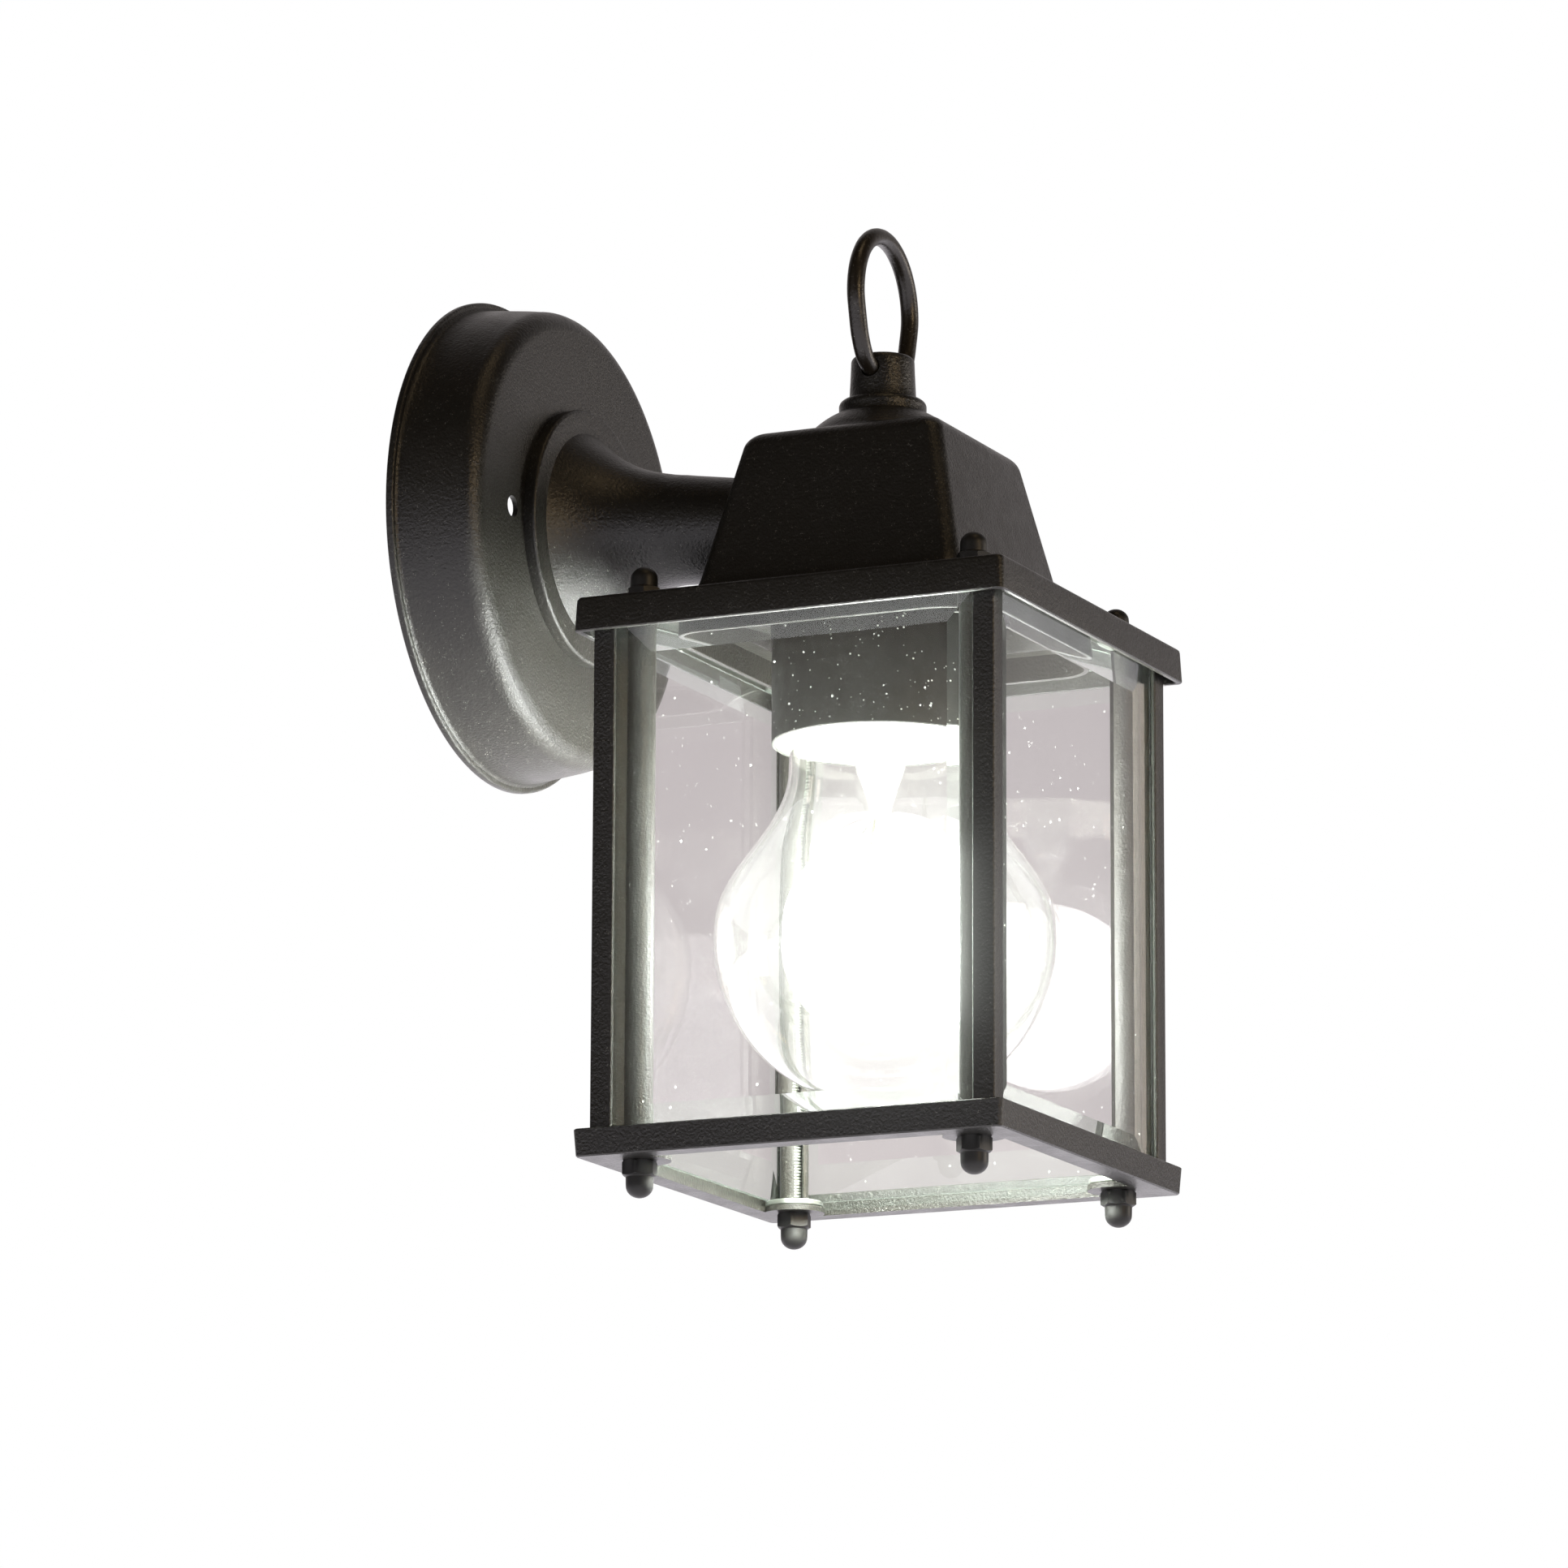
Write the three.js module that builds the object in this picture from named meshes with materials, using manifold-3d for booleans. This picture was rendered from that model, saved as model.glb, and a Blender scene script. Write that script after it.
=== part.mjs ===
// Outdoor wall lantern: a square glass cage with an electric lamp in it, hung on a short arm from a
// round wall canopy. Millimetres, +Z up. The origin is the middle of the canopy's back plane, which
// lies on the wall, +Y points into the wall, and the lantern hangs on the -Y side.
import * as THREE from "three";
import { mergeVertices } from "three/addons/utils/BufferGeometryUtils.js";
import Module from "manifold-3d";

const wasm = await Module();
wasm.setup();

// ---- Driving dimensions -------------------------------------------------------------------------
const GAP = 0.3; // clearance between pieces that rest on each other

// Canopy and arm, measured from the wall along -Y.
const WALL_TO_AXIS = 97; // wall to the upright axis of the lantern
const LIP_R = 56.9;
const LIP_THICK = 1.9;
const DRUM_BACK_R = 54.9;
const DRUM_FRONT_R = 53.2;
const DRUM_DEPTH = 21;
const DRUM_FILLET = 5;
const SHEET = 1.2; // canopy sheet
const CANOPY_HOLE_R = 2.5;
const CANOPY_HOLE_X = 34.9; // half of the 69.8 mm between the two mounting holes
const WIRE_HOLE_R = 10.5;
const ARM_DISC_R = 29.8;
const ARM_DISC_THICK = 2.8;
const TRUMPET_R = 24.2; // where the trumpet springs from the disc
const ARM_R = 12.6; // where the flare ends
const ARM_TIP_R = 10.8; // at the roof
const ARM_FLARE = 25; // length of the flare
const ARM_FLARE_START = (52 * Math.PI) / 180; // how steeply the flare leaves the disc
const ARM_DROOP = 2.3; // how far the tube's outside hangs down at the roof
const ARM_DROOP_FROM = 44;
const ARM_BORE_R = 5.3; // at the roof, for the nipple
const ARM_SCREW_RING = 15.5; // between the bore and the flare's outside
const ARM_SCREW_R = 2;
const ARM_SCREW_TIP = 24.6;

// Lantern, in its own frame: the axis is x = y = 0 and z = 0 is the top of the roof flange.
const FLANGE_BELOW_ARM = 27.2; // arm axis above the top of the flange
const FLANGE_TOP_HALF = 51.66;
const FLANGE_BOTTOM_HALF = 52;
const FLANGE_TALL = 7.9;
const SKIRT_INNER = 50.5;
const PLATE_UNDERSIDE = -2;
const LIP_INNER = 35.2; // lip that hangs round the square opening under the flange
const LIP_OUTER = 36.5;
const LIP_CORNER_R = 10; // clears the discs at the heads of the posts
const ROOF_BASE_HALF = 33.1; // where the sloping wall would meet the flange
const ROOF_TOP_HALF = 23.7;
const ROOF_TALL = 41.5;
const ROOF_WALL = 2;
const ROOF_EDGE_R = 3.5;
const ROOF_BASE_FILLET = 7;
const FRAME_TOP_HALF = 51.35;
const FRAME_BOTTOM_HALF = 50.96;
const FRAME_TOP = -119.65;
const FRAME_BOTTOM = -125.9;
const FRAME_WALL = 1.4;
const LEDGE_INNER = 45.2;
const LEDGE_THICK = 1.2;
const ROD_AT = 40.12; // corner rods, in x and in y
const ROD_R = 1.95;
const ROD_HOLE_R = 2.3;
const EAR_R = 7;
const WASHER_R = 6.6;
const WASHER_THICK = 1.4;
const POST_OUTER = 48.46;
const POST_LEG = 5.3;
const POST_SHEET = 1.2;
const POST_TUBE_R = 3.3;
const POST_BORE_R = 2.35;
const POST_SLOT = 2.2;
const POST_WEB = 1;
const PANE_OUTER = 46.9;
const PANE_THICK = 3;
const PANE_EDGE = 1.5; // thickness left at the bevelled edges
const PANE_BEVEL = 6.4;
const PANE_HALF = 44.35;
const NUT_ACROSS_FLATS = 7;
const NUT_HEX_TALL = 3.4;
const NUT_TALL = 8.2;
const NUT_DOME_R = 3.15;
const NUT_BORE_DEPTH = 5.8;

// Finial and ring.
const FINIAL_CYL_R = 7.2;
const FINIAL_CYL_TOP = 61.9;
const FINIAL_HOLE_Z = 58.3;
const FINIAL_STUD_R = 3;
const FINIAL_STUD_BOTTOM = 33.8;
const RING_WIRE_R = 2.02;
const RING_HALF_WIDE = 14.84;
const RING_HALF_TALL = 15.56;
const RING_CENTRE_Z = 74.5;

// Lampholder, sleeve and bulb.
const SLEEVE_R = 24.4;
const SLEEVE_WALL = 0.8;
const SLEEVE_BOTTOM = -28.1;
const SLEEVE_TOP = 11.3;
const HOLDER_R = 19.5;
const HOLDER_THREAD_R = 17.2;
const HOLDER_NECK_R = 15;
const HOLDER_BOTTOM = -3;
const HOLDER_SHOULDER = 10;
const HOLDER_TOP = 27.5;
const HOLDER_CAVITY_R = 14.8;
const HOLDER_CAVITY_TOP = 23.5;
const SHELL_R = 14.4;
const SHELL_TOP = 20;
const SHELL_HOLE_R = 5.5; // round the centre contact
const BULB_R = 37.2;
const BULB_CENTRE = -72.6;
const BULB_NECK_R = 20.5;
const BULB_SEAL_R = 12.2; // where the glass enters the cap
const BULB_GLASS = 0.8;
const CAP_R = 13.1;
const CAP_BOTTOM = -5;
const CAP_TOP = 19.4;
const LEAD_R = 0.95;

const ROUND = 36; // sides of the large round pieces
const SMALL_ROUND = 14;

// ---- Colours ------------------------------------------------------------------------------------
const finish = (color, roughness, metalness) =>
  new THREE.MeshStandardMaterial({ color, roughness, metalness });
const BRONZE = () => finish(0x2a261f, 0.5, 0.3);
const NUT_BLACK = () => finish(0x2b2b2a, 0.6, 0.4);
const STEEL = () => finish(0xa9adb0, 0.35, 1);
const BRASS = () => finish(0xb79a55, 0.35, 1);
const PORCELAIN = () => finish(0xece8df, 0.3, 0);
const NYLON = () => finish(0xe4e2da, 0.5, 0);
const LEAD_COLOURS = { live: 0x1a1a1a, neutral: 0xe8e8e6, earth: 0x2f7a3f };
const GLASS = () => {
  const glass = finish(0xe8f0ee, 0.03, 0);
  glass.transparent = true;
  glass.opacity = 0.25;
  return glass;
};

// ---- Helpers ------------------------------------------------------------------------------------
const v2 = (x, y) => new THREE.Vector2(x, y);
const v3 = (x, y, z) => new THREE.Vector3(x, y, z);

// A three.js geometry as a manifold-3d solid.
function solid(geometry) {
  const bare = geometry.index ? geometry.toNonIndexed() : geometry.clone();
  bare.deleteAttribute("normal");
  bare.deleteAttribute("uv");
  const merged = mergeVertices(bare, 1e-4);
  const index = merged.index.array;
  const kept = [];
  for (let i = 0; i < index.length; i += 3) {
    const [a, b, c] = [index[i], index[i + 1], index[i + 2]];
    if (a !== b && b !== c && a !== c) kept.push(a, b, c);
  }
  return new wasm.Manifold(
    new wasm.Mesh({
      numProp: 3,
      vertProperties: new Float32Array(merged.attributes.position.array),
      triVerts: new Uint32Array(kept),
    }),
  );
}

// A manifold-3d solid as a three.js geometry.
function geometryOf(made) {
  const mesh = made.getMesh();
  const geometry = new THREE.BufferGeometry();
  geometry.setAttribute("position", new THREE.BufferAttribute(mesh.vertProperties, 3));
  geometry.setIndex(new THREE.BufferAttribute(mesh.triVerts, 1));
  geometry.computeVertexNormals();
  return geometry;
}

const join = (first, ...rest) => rest.reduce((sum, next) => sum.add(next), first);
const cut = (first, ...rest) => rest.reduce((left, next) => left.subtract(next), first);

function piece(name, shape, material) {
  const geometry = shape.isBufferGeometry ? shape : geometryOf(shape);
  const mesh = new THREE.Mesh(geometry, material);
  mesh.name = name;
  return mesh;
}

// Turns a closed (radius, height) profile about Z. It runs upwards on its outer side.
function turned(profile, sides = ROUND) {
  return new THREE.LatheGeometry(profile, sides).rotateX(Math.PI / 2);
}

// A round tube or rod between two heights on Z.
function rod(radius, bottom, top, sides = SMALL_ROUND) {
  return turned([v2(0, bottom), v2(radius, bottom), v2(radius, top), v2(0, top)], sides);
}

function tube(outer, inner, bottom, top, sides = SMALL_ROUND) {
  const profile = [v2(inner, bottom), v2(outer, bottom), v2(outer, top), v2(inner, top)];
  return turned([...profile, v2(inner, bottom)], sides);
}

function hexPrism(acrossFlats, bottom, top) {
  const corner = acrossFlats / Math.sqrt(3);
  const outline = new THREE.Shape();
  for (let i = 0; i < 6; i += 1) {
    const angle = (i * Math.PI) / 3;
    const point = [corner * Math.cos(angle), corner * Math.sin(angle)];
    if (i === 0) outline.moveTo(...point);
    else outline.lineTo(...point);
  }
  return prism(outline, bottom, top);
}

function prism(shape, bottom, top) {
  const settings = { depth: top - bottom, bevelEnabled: false, curveSegments: 10 };
  return new THREE.ExtrudeGeometry(shape, settings).translate(0, 0, bottom);
}

function block(x0, x1, y0, y1, z0, z1) {
  const box = new THREE.BoxGeometry(x1 - x0, y1 - y0, z1 - z0);
  return box.translate((x0 + x1) / 2, (y0 + y1) / 2, (z0 + z1) / 2);
}

// Points of a circular arc in a profile; angles in degrees.
function arc(cx, cy, radius, from, to, steps) {
  return Array.from({ length: steps + 1 }, (_, i) => {
    const angle = THREE.MathUtils.degToRad(from + ((to - from) * i) / steps);
    return v2(cx + radius * Math.cos(angle), cy + radius * Math.sin(angle));
  });
}

// A solid through rounded squares stacked on Z: each section has a height, a half width and a
// corner radius.
function squareLoft(sections) {
  const corner = 0.25;
  const reach = 1 - corner;
  const outline = new THREE.Shape();
  const quarters = [[reach, reach, 0], [-reach, reach, 1], [-reach, -reach, 2], [reach, -reach, 3]];
  for (const [x, y, turn] of quarters) {
    outline.absarc(x, y, corner, (turn * Math.PI) / 2, ((turn + 1) * Math.PI) / 2, false);
  }
  const steps = sections.length - 1;
  const settings = { depth: steps, steps, bevelEnabled: false, curveSegments: 4 };
  const geometry = new THREE.ExtrudeGeometry(outline, settings);
  const position = geometry.attributes.position;
  const place = (value, half, radius) => {
    const core = THREE.MathUtils.clamp(value, -reach, reach);
    return (core / reach) * (half - radius) + ((value - core) / corner) * radius;
  };
  for (let i = 0; i < position.count; i += 1) {
    const { z, half, radius } = sections[Math.round(position.getZ(i))];
    const x = place(position.getX(i), half, radius);
    position.setXYZ(i, x, place(position.getY(i), half, radius), z);
  }
  return geometry;
}

// A round section swept along a smooth curve through the points.
function wire(radius, points, steps, sides = 8) {
  const section = new THREE.Shape();
  for (let i = 0; i < sides; i += 1) {
    const angle = (2 * Math.PI * i) / sides;
    const point = [radius * Math.cos(angle), radius * Math.sin(angle)];
    if (i === 0) section.moveTo(...point);
    else section.lineTo(...point);
  }
  const extrudePath = new THREE.CatmullRomCurve3(points, false, "centripetal");
  return new THREE.ExtrudeGeometry(section, { steps, extrudePath, bevelEnabled: false });
}

// Turns a piece that was made upright so that its +Z points away from the wall, along -Y.
const facingOut = (geometry) => geometry.rotateX(Math.PI / 2);

const CORNERS = [
  { name: "front_left", sx: -1, sy: -1 },
  { name: "front_right", sx: 1, sy: -1 },
  { name: "rear_right", sx: 1, sy: 1 },
  { name: "rear_left", sx: -1, sy: 1 },
];

// ---- Canopy and arm -----------------------------------------------------------------------------
function armScrewPlaces() {
  return [30, 150, 270].map((degrees) => {
    const angle = THREE.MathUtils.degToRad(degrees);
    return [ARM_SCREW_RING * Math.cos(angle), ARM_SCREW_RING * Math.sin(angle)];
  });
}

function makeCanopy() {
  const outside = [
    v2(DRUM_BACK_R - SHEET, 0),
    v2(LIP_R - 0.5, 0),
    v2(LIP_R, 0.5),
    v2(LIP_R, LIP_THICK - 0.6),
    v2(LIP_R - 0.6, LIP_THICK),
    v2(DRUM_BACK_R, LIP_THICK),
    ...arc(DRUM_FRONT_R - DRUM_FILLET, DRUM_DEPTH - DRUM_FILLET, DRUM_FILLET, 0, 90, 4),
    v2(WIRE_HOLE_R, DRUM_DEPTH),
  ];
  const innerFillet = DRUM_FILLET - SHEET;
  const inside = [
    v2(WIRE_HOLE_R, DRUM_DEPTH - SHEET),
    ...arc(DRUM_FRONT_R - DRUM_FILLET, DRUM_DEPTH - DRUM_FILLET, innerFillet, 90, 0, 3),
    v2(DRUM_BACK_R - SHEET, 0),
  ];
  let shell = solid(turned([...outside, ...inside], 56));
  for (const side of [-1, 1]) {
    const hole = rod(CANOPY_HOLE_R, DRUM_DEPTH - 5, DRUM_DEPTH + 5);
    shell = shell.subtract(solid(hole.translate(side * CANOPY_HOLE_X, 0, 0)));
  }
  for (const [x, z] of armScrewPlaces()) {
    const hole = rod(ARM_SCREW_R + GAP, DRUM_DEPTH - 5, DRUM_DEPTH + 5);
    shell = shell.subtract(solid(hole.translate(x, z, 0)));
  }
  return piece("wall_canopy", facingOut(geometryOf(shell)), BRONZE());
}

// Lowers the tube's outside towards the roof; its bore stays straight.
function drooped(geometry, tip) {
  const place = geometry.getAttribute("position");
  for (let i = 0; i < place.count; i++) {
    const along = (place.getZ(i) - ARM_DROOP_FROM) / (tip - ARM_DROOP_FROM);
    if (along > 0 && Math.hypot(place.getX(i), place.getY(i)) > ARM_TIP_R - 1) {
      place.setY(i, place.getY(i) - ARM_DROOP * along);
    }
  }
  return geometry;
}

function makeArm() {
  const base = DRUM_DEPTH + GAP;
  const root = base + ARM_DISC_THICK;
  const tip = WALL_TO_AXIS - ROOF_TOP_HALF;
  const steps = 6;
  const flare = Array.from({ length: steps + 1 }, (_, i) => {
    const angle = ARM_FLARE_START + ((Math.PI / 2 - ARM_FLARE_START) * i) / steps;
    const inward = (1 - Math.sin(angle)) / (1 - Math.sin(ARM_FLARE_START));
    const rise = 1 - Math.cos(angle) / Math.cos(ARM_FLARE_START);
    return v2(ARM_R + (TRUMPET_R - ARM_R) * inward, root + ARM_FLARE * rise);
  });
  const profile = [
    v2(12, base),
    v2(ARM_DISC_R, base),
    v2(ARM_DISC_R, root - 0.9),
    v2(ARM_DISC_R - 0.9, root),
    ...flare,
    v2(ARM_TIP_R, tip),
    v2(ARM_BORE_R, tip),
    v2(ARM_BORE_R, 52),
    v2(8, 42),
    v2(12, base),
  ];
  let arm = solid(drooped(turned(profile), tip));
  for (const [x, z] of armScrewPlaces()) {
    arm = arm.subtract(solid(rod(ARM_SCREW_R + GAP, 0, ARM_SCREW_TIP + GAP).translate(x, z, 0)));
  }
  const placed = solid(facingOut(geometryOf(arm)));
  const roof = solid(roofOuter(GAP).translate(0, -WALL_TO_AXIS, -FLANGE_BELOW_ARM));
  return piece("arm", placed.subtract(roof), BRONZE());
}

// The screws go in from inside the canopy; the lowest one also holds the terminal block's ear and
// the first one the earth tag.
function makeArmScrews() {
  const under = [1, 0, 1.5];
  return armScrewPlaces().map(([x, z], i) => {
    const seat = DRUM_DEPTH - SHEET - GAP - (under[i] ? under[i] + GAP : 0);
    const profile = [
      v2(0, seat - 2.4),
      v2(2.8, seat - 2.4),
      v2(3.6, seat - 1.4),
      v2(3.6, seat),
      v2(ARM_SCREW_R, seat),
      v2(ARM_SCREW_R, ARM_SCREW_TIP),
      v2(0, ARM_SCREW_TIP),
    ];
    const screw = facingOut(turned(profile, SMALL_ROUND)).translate(x, 0, z);
    return piece(`arm_screw_${i + 1}`, screw, STEEL());
  });
}

const NIPPLE_R = 5;
const NIPPLE_BORE_R = 3.8;
const NIPPLE_FROM = 54;
const NIPPLE_TO = 77.8;
const NUT_SEAT = 74.2; // inner face of the roof's rear wall

function makeNipple() {
  const shape = tube(NIPPLE_R, NIPPLE_BORE_R, NIPPLE_FROM, NIPPLE_TO);
  return piece("arm_nipple", facingOut(shape), STEEL());
}

function makeNippleNut() {
  const body = solid(hexPrism(14, NUT_SEAT + GAP, NUT_SEAT + GAP + 3));
  const nut = body.subtract(solid(rod(NIPPLE_R + GAP, NUT_SEAT - 2, NUT_SEAT + 8)));
  return piece("arm_nipple_nut", facingOut(geometryOf(nut)), STEEL());
}

// ---- Roof ---------------------------------------------------------------------------------------
const ROOF_SLOPE = (ROOF_BASE_HALF - ROOF_TOP_HALF) / ROOF_TALL;
const roofHalfAt = (z) => ROOF_BASE_HALF - ROOF_SLOPE * z;

function roofOuter(grow = 0) {
  const sections = [];
  for (let i = 0; i <= 4; i += 1) {
    const angle = (i * Math.PI) / 8;
    const z = ROOF_BASE_FILLET * (1 - Math.cos(angle));
    const flare = ROOF_BASE_FILLET * (1 - Math.sin(angle));
    const half = roofHalfAt(z) + flare + grow;
    sections.push({ z: z - 0.1, half, radius: ROOF_EDGE_R + flare });
  }
  for (let i = 0; i <= 3; i += 1) {
    const angle = (i * Math.PI) / 6;
    const z = ROOF_TALL - ROOF_EDGE_R * (1 - Math.sin(angle));
    const inset = ROOF_EDGE_R * (1 - Math.cos(angle));
    const radius = Math.max(ROOF_EDGE_R - inset * 0.7, 0.6);
    sections.push({ z: z + grow, half: roofHalfAt(z) - inset + grow, radius });
  }
  return squareLoft(sections);
}

function makeRoof() {
  const flange = squareLoft([
    { z: -FLANGE_TALL, half: FLANGE_BOTTOM_HALF, radius: 1.6 },
    { z: -0.8, half: FLANGE_TOP_HALF, radius: 1.6 },
    { z: -0.25, half: FLANGE_TOP_HALF - 0.25, radius: 1.4 },
    { z: 0, half: FLANGE_TOP_HALF - 0.8, radius: 1 },
  ]);
  const skirtPocket = squareLoft([
    { z: -FLANGE_TALL - 5, half: SKIRT_INNER + 0.2, radius: 1 },
    { z: PLATE_UNDERSIDE, half: SKIRT_INNER, radius: 1 },
  ]);
  const lip = squareLoft([
    { z: -FLANGE_TALL, half: LIP_OUTER, radius: LIP_CORNER_R },
    { z: PLATE_UNDERSIDE + 1, half: LIP_OUTER, radius: LIP_CORNER_R },
  ]);
  const wellRadius = LIP_CORNER_R - (LIP_OUTER - LIP_INNER);
  const well = squareLoft([
    { z: -FLANGE_TALL - 5, half: LIP_INNER, radius: wellRadius },
    { z: PLATE_UNDERSIDE, half: LIP_INNER, radius: wellRadius },
  ]);
  const hollow = squareLoft([
    { z: PLATE_UNDERSIDE - 5, half: roofHalfAt(-5) - ROOF_WALL - 1.2, radius: 2 },
    { z: ROOF_TALL - ROOF_WALL - 2, half: roofHalfAt(ROOF_TALL - 4) - ROOF_WALL, radius: 2 },
    { z: ROOF_TALL - ROOF_WALL, half: roofHalfAt(ROOF_TALL - 4) - ROOF_WALL - 2, radius: 1 },
  ]);
  const outer = solid(roofOuter());
  const channel = solid(skirtPocket).subtract(solid(lip));
  let roof = cut(join(outer, solid(flange)), channel, solid(well), solid(hollow));
  // The inner face of the rear wall is spot-faced square to the arm for the nipple's nut.
  const reach = WALL_TO_AXIS - NUT_SEAT;
  const pad = solid(facingOut(rod(9.6, -reach - 12, -reach)).translate(0, 0, FLANGE_BELOW_ARM));
  roof = roof.add(pad.intersect(outer));
  for (const { sx, sy } of CORNERS) {
    const hole = rod(ROD_HOLE_R, -20, 20).translate(sx * ROD_AT, sy * ROD_AT, 0);
    roof = roof.subtract(solid(hole));
  }
  const bore = facingOut(rod(ARM_BORE_R, -60, -10)).translate(0, 0, FLANGE_BELOW_ARM);
  roof = cut(roof, solid(bore), solid(rod(FINIAL_STUD_R + GAP, 20, 60)));
  return piece("roof", roof, BRONZE());
}

// ---- Finial and hanging ring --------------------------------------------------------------------
function makeFinial() {
  const seat = ROOF_TALL + GAP;
  const profile = [
    v2(0, FINIAL_STUD_BOTTOM),
    v2(FINIAL_STUD_R, FINIAL_STUD_BOTTOM),
    v2(FINIAL_STUD_R, seat),
    v2(18.2, seat),
    v2(18, seat + 2.4),
    v2(17, 45),
    v2(15.4, 46.3),
    v2(12.9, 47.4),
    v2(10.2, 48.1),
    v2(9.92, 48.2),
    ...arc(8.6, 50.3, 1.32, 0, 90, 2),
    v2(7.55, 51.7),
    ...arc(FINIAL_CYL_R - 1.3, FINIAL_CYL_TOP - 1.3, 1.3, 0, 90, 3),
    v2(0, FINIAL_CYL_TOP),
  ];
  let body = solid(turned(profile, 32));
  for (const side of [-1, 1]) {
    const hole = rod(RING_WIRE_R + 0.35, 3, 12).rotateY((side * Math.PI) / 2);
    body = body.subtract(solid(hole.translate(0, 0, FINIAL_HOLE_Z)));
  }
  return piece("finial", body, BRONZE());
}

function makeFinialNut() {
  const nut = cut(solid(hexPrism(10, 34.6, 37.6)), solid(rod(FINIAL_STUD_R + GAP, 30, 40)));
  return piece("finial_nut", nut, STEEL());
}

// The ring's ends turn inwards along X and sit in the finial's two side holes.
function makeRing() {
  const points = [v3(-3.6, 0, FINIAL_HOLE_Z), v3(-6.6, 0, FINIAL_HOLE_Z)];
  points.push(v3(-9.6, 0, FINIAL_HOLE_Z + 1.5), v3(-12.3, 0, FINIAL_HOLE_Z + 5.6));
  const steps = 10;
  for (let i = 0; i <= steps; i += 1) {
    const angle = THREE.MathUtils.degToRad(202 - (i * 224) / steps);
    const x = RING_HALF_WIDE * Math.cos(angle);
    points.push(v3(x, 0, RING_CENTRE_Z + RING_HALF_TALL * Math.sin(angle)));
  }
  points.push(v3(12.3, 0, FINIAL_HOLE_Z + 5.6), v3(9.6, 0, FINIAL_HOLE_Z + 1.5));
  points.push(v3(6.6, 0, FINIAL_HOLE_Z), v3(3.6, 0, FINIAL_HOLE_Z));
  return piece("hanging_ring", wire(RING_WIRE_R, points, 44, 10), BRONZE());
}

// ---- Cage ---------------------------------------------------------------------------------------
const POST_BOTTOM = FRAME_BOTTOM + LEDGE_THICK + WASHER_THICK + 2 * GAP;
const POST_TOP = PLATE_UNDERSIDE - WASHER_THICK - 2 * GAP;

// Made for the +X +Y corner: an outer angle, a web and a slotted tube round the tie rod, which
// leave two grooves that hold the panes.
function makePost({ name, sx, sy }) {
  const inner = POST_OUTER - POST_SHEET;
  const start = POST_OUTER - POST_LEG;
  const legX = solid(block(start, POST_OUTER, inner, POST_OUTER, POST_BOTTOM, POST_TOP));
  const legY = solid(block(inner, POST_OUTER, start, POST_OUTER, POST_BOTTOM, POST_TOP));
  const webEnd = (inner - ROD_AT) * Math.SQRT2 + 0.3;
  const web = block(2.8, webEnd, -POST_WEB / 2, POST_WEB / 2, POST_BOTTOM, POST_TOP);
  const slot = block(-6, 0, -POST_SLOT / 2, POST_SLOT / 2, POST_BOTTOM - 1, POST_TOP + 1);
  const place = (geometry) => geometry.rotateZ(Math.PI / 4).translate(ROD_AT, ROD_AT, 0);
  const sleeve = rod(POST_TUBE_R, POST_BOTTOM, POST_TOP, 18).translate(ROD_AT, ROD_AT, 0);
  const bore = rod(POST_BORE_R, POST_BOTTOM - 1, POST_TOP + 1, 16).translate(ROD_AT, ROD_AT, 0);
  const post = cut(join(legX, legY, solid(place(web)), solid(sleeve)), solid(bore), solid(place(slot)));
  const mesh = piece(`post_${name}`, post, BRONZE());
  mesh.rotation.z = Math.atan2(sy, sx) - Math.PI / 4;
  return mesh;
}

function makeTieRod({ name, sx, sy }) {
  const shape = rod(ROD_R, FRAME_BOTTOM - NUT_BORE_DEPTH, NUT_BORE_DEPTH);
  const mesh = piece(`tie_rod_${name}`, shape, STEEL());
  mesh.position.set(sx * ROD_AT, sy * ROD_AT, 0);
  return mesh;
}

// Made with its open face at z = 0 and its dome upwards.
function capNut() {
  const hex = solid(hexPrism(NUT_ACROSS_FLATS, 0, NUT_HEX_TALL));
  const bevel = [
    v2(0, -1),
    v2(4.4, -1),
    v2(4.4, NUT_HEX_TALL - 0.5),
    v2(3.5, NUT_HEX_TALL),
    v2(NUT_DOME_R + 0.15, NUT_HEX_TALL),
    ...arc(0, NUT_TALL - NUT_DOME_R + 0.2, NUT_DOME_R - 0.2, 0, 90, 3),
  ];
  const trimmed = turned(bevel, 12);
  const dome = [
    v2(0, 0.5),
    v2(NUT_DOME_R, 0.5),
    v2(NUT_DOME_R, NUT_HEX_TALL),
    ...arc(0, NUT_TALL - NUT_DOME_R + 0.2, NUT_DOME_R - 0.2, 0, 90, 3),
  ];
  const body = join(hex.intersect(solid(trimmed)), solid(turned(dome, 12)));
  return geometryOf(body.subtract(solid(rod(ROD_HOLE_R, -1, NUT_BORE_DEPTH, 12))));
}

function makeTopNut({ name, sx, sy }) {
  const mesh = piece(`top_cap_nut_${name}`, capNut(), NUT_BLACK());
  mesh.position.set(sx * ROD_AT, sy * ROD_AT, GAP);
  return mesh;
}

function makeBottomNut({ name, sx, sy }) {
  const mesh = piece(`bottom_cap_nut_${name}`, capNut(), NUT_BLACK());
  mesh.rotation.x = Math.PI;
  mesh.position.set(sx * ROD_AT, sy * ROD_AT, FRAME_BOTTOM - GAP);
  return mesh;
}

function makeWasher({ name, sx, sy }, level, bottom) {
  const disc = tube(WASHER_R, ROD_HOLE_R, bottom, bottom + WASHER_THICK, 20);
  const mesh = piece(`${level}_disc_${name}`, disc, STEEL());
  mesh.position.set(sx * ROD_AT, sy * ROD_AT, 0);
  return mesh;
}

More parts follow.
